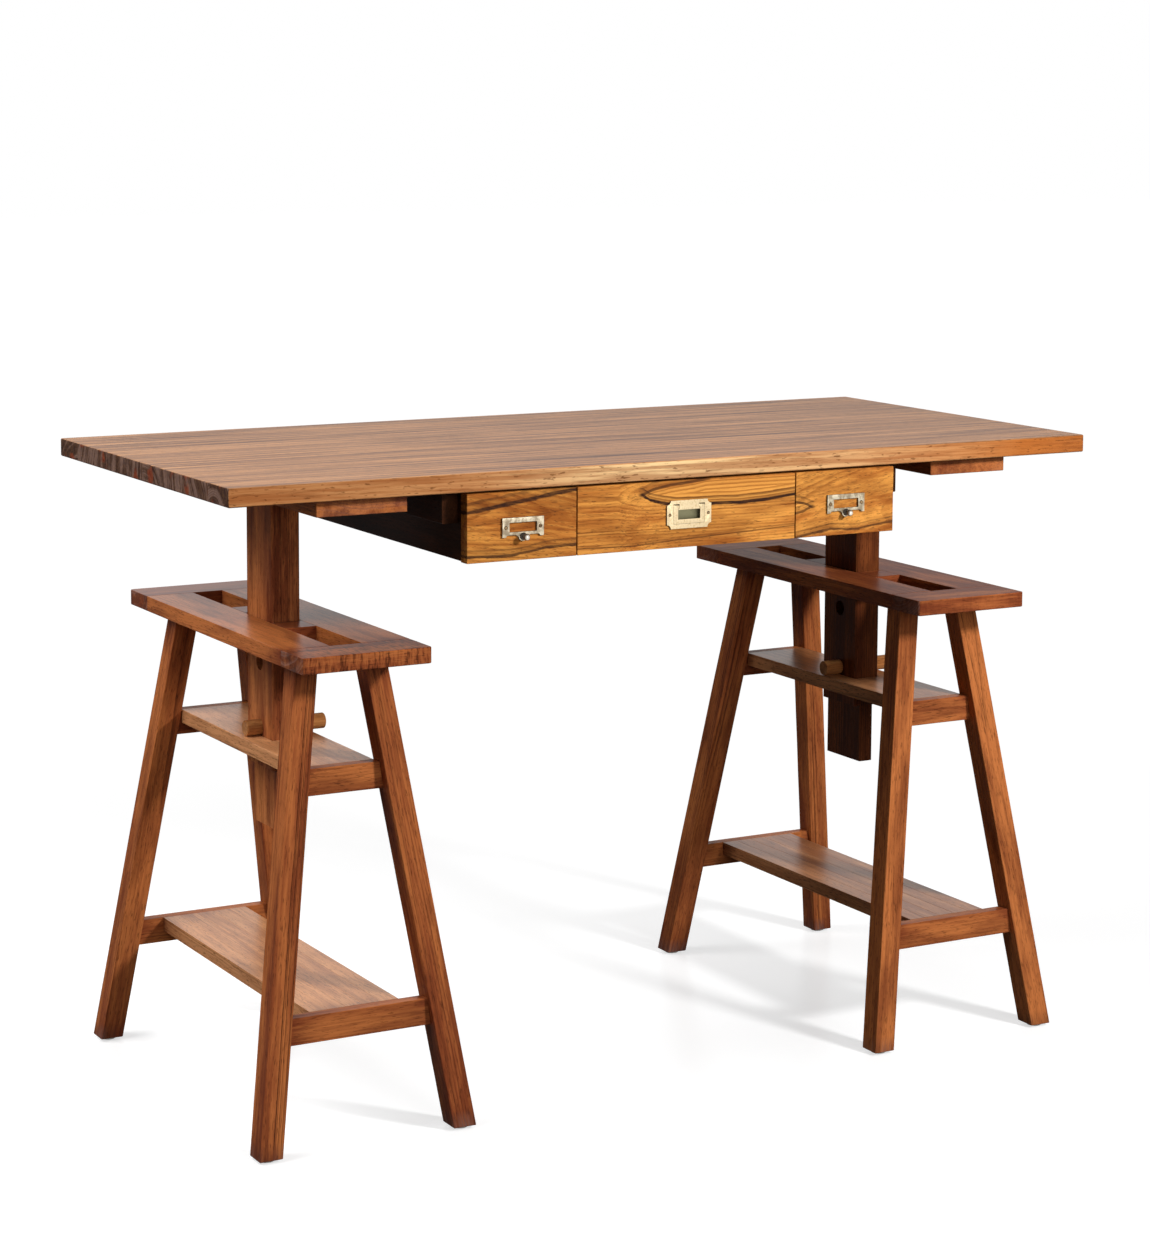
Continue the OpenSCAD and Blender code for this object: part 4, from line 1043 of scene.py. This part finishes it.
def screw_head(x, z, radius, height, face, slot_angle):
    """height * (1 - 0.75 (r / radius)^3) over the face, less a trough that follows the slot's line."""
    around = 48
    r = np.append(np.linspace(0.04, 1, 14), 1) * radius
    lift = height * (1 - 0.75 * (r / radius) ** 3)
    lift[-1] = 0
    angle = np.linspace(0, 2 * np.pi, around, endpoint=False)
    u, w = np.outer(r, np.cos(angle)), np.outer(r, np.sin(angle))
    off_line = np.abs(-u * np.sin(slot_angle) + w * np.cos(slot_angle))
    out = lift[:, None] - np.clip((SLOT_HALF - off_line) / SLOT_SIDE, 0, 1) * 0.55 * height
    out[-1] = 0
    rings = np.stack([x + u, -(face + out), z + w], -1).reshape(-1, 3)
    points = np.concatenate([rings, [[x, -(face + 0.45 * height), z], [x, -face, z]]])
    from_middle = np.hypot(points[:, 0] - x, points[:, 2] - z) / radius
    # painted shade: the outer part of each head is darkened
    return dict(points=points, painted_shade=painted_shade_at(np.clip((from_middle - 0.6) / 0.2, 0, 1)),
                **closed_tube(len(r), around))


HOLDER_SCREW_X = 28.25
PULL_Z, PULL_SCREW_X, PULL_FACE = 890.0, 33.4, 2.5
for side, x in (("left", -HOLDER_X), ("right", HOLDER_X)):
    piece(f"{side}_knob_turned",
          [moved(knob(), (x, FRONT_Y[0], HOLDER_Z - KNOB_BELOW), FROM_FACE)],
          f"{side}_drawer", "knob_metal", stands_for=[f"{side}_knob"])
    piece(f"{side}_screw_heads",
          [screw_head(x + sx * HOLDER_SCREW_X, HOLDER_Z, 2.9, 1.0, HOLDER_FACE - FRONT_Y[0], 0.7 * sx + 0.3)
           for sx in (-1, 1)], f"{side}_drawer", "screw_brass", stands_for=[f"{side}_holder_screws"])
piece("pull_screw_heads",
      [screw_head(sx * PULL_SCREW_X, PULL_Z, 2.4, 0.8, PULL_FACE - FRONT_Y[0], 1.1 * sx)
       for sx in (-1, 1)], "middle_drawer", "screw_brass", stands_for=["pull_screws"])

# %% [markdown]
# ## Plates with soft edges
#
# The card holders, the pull's plate, its bail and its cup are flat stampings and castings. Their
# outlines come right out of the CAD frame, but a stamped edge is never sharp: it catches a thin
# line of light. Each is a copy of the CAD mesh with its corners merged and its flat faces made
# whole, and a narrow bevel that keeps the flat faces flat to the light.

# %% Copies of CAD nodes with bevelled edges
def softened_copy(name, width):
    """A copy of a CAD node whose edges get a bevel of two steps, `width` millimetres wide."""
    form = bmesh.new()
    form.from_mesh(nodes[name].data)
    bmesh.ops.remove_doubles(form, verts=form.verts, dist=1e-6)
    bmesh.ops.dissolve_limit(form, angle_limit=np.radians(1.0), verts=form.verts, edges=form.edges)
    mesh = bpy.data.meshes.new(f"{name}_soft")
    form.to_mesh(mesh)
    form.free()
    mesh.shade_smooth()
    made = bpy.data.objects.new(f"{name}_soft", mesh)
    bpy.context.scene.collection.objects.link(made)
    bevel = made.modifiers.new("edges", "BEVEL")
    bevel.width, bevel.segments = width * MM, 2
    bevel.limit_method, bevel.angle_limit = "ANGLE", np.radians(35)
    bevel.harden_normals = True
    return made


for name, slot, body, width in (
        ("left_card_holder", "holder_metal", "left_drawer", 0.35),
        ("right_card_holder", "holder_metal", "right_drawer", 0.35),
        ("pull_plate", "pull_metal", "middle_drawer", 0.35),
        ("pull_cup", "cup_metal", "middle_drawer", 0.3),
        ("pull_bail", "pull_metal", "bail", 0.4)):
    made = softened_copy(name, width)
    made.data.materials.append(finish_of[slot])
    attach(made, body)
    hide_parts(name)
    print(f"{name}: {len(made.data.polygons)} faces before its bevel")

# %% [markdown]
# ## The pieces that keep their CAD shape
#
# The posts, the drawer boxes, the unit and its battens, the screws under the top, the pins of the
# bail and the glides are right as they are. Each gets its finish in its own material slots.

# %% Finishes for the CAD nodes that stay
# the near-black finish of the case and the dark one of the right post are painted shade
KEPT = {"left_post": "left_post_wood", "right_post": "right_post_shaded_wood", "unit_": "case_wood",
        "unit_back": "back_wood", "_drawer_box": "box_wood", "_drawer_bottom": "box_wood",
        "underside_screws": "screw_steel", "pull_pins": "screw_steel", "glides": "glide_plastic"}
for name, node in nodes.items():
    if node.hide_render:
        continue
    finishes = [finish for key, finish in KEPT.items() if key in name]
    for place in node.material_slots:
        place.material = finish_of[finishes[-1]]
    print(name, "keeps its shape, in", finishes[-1])
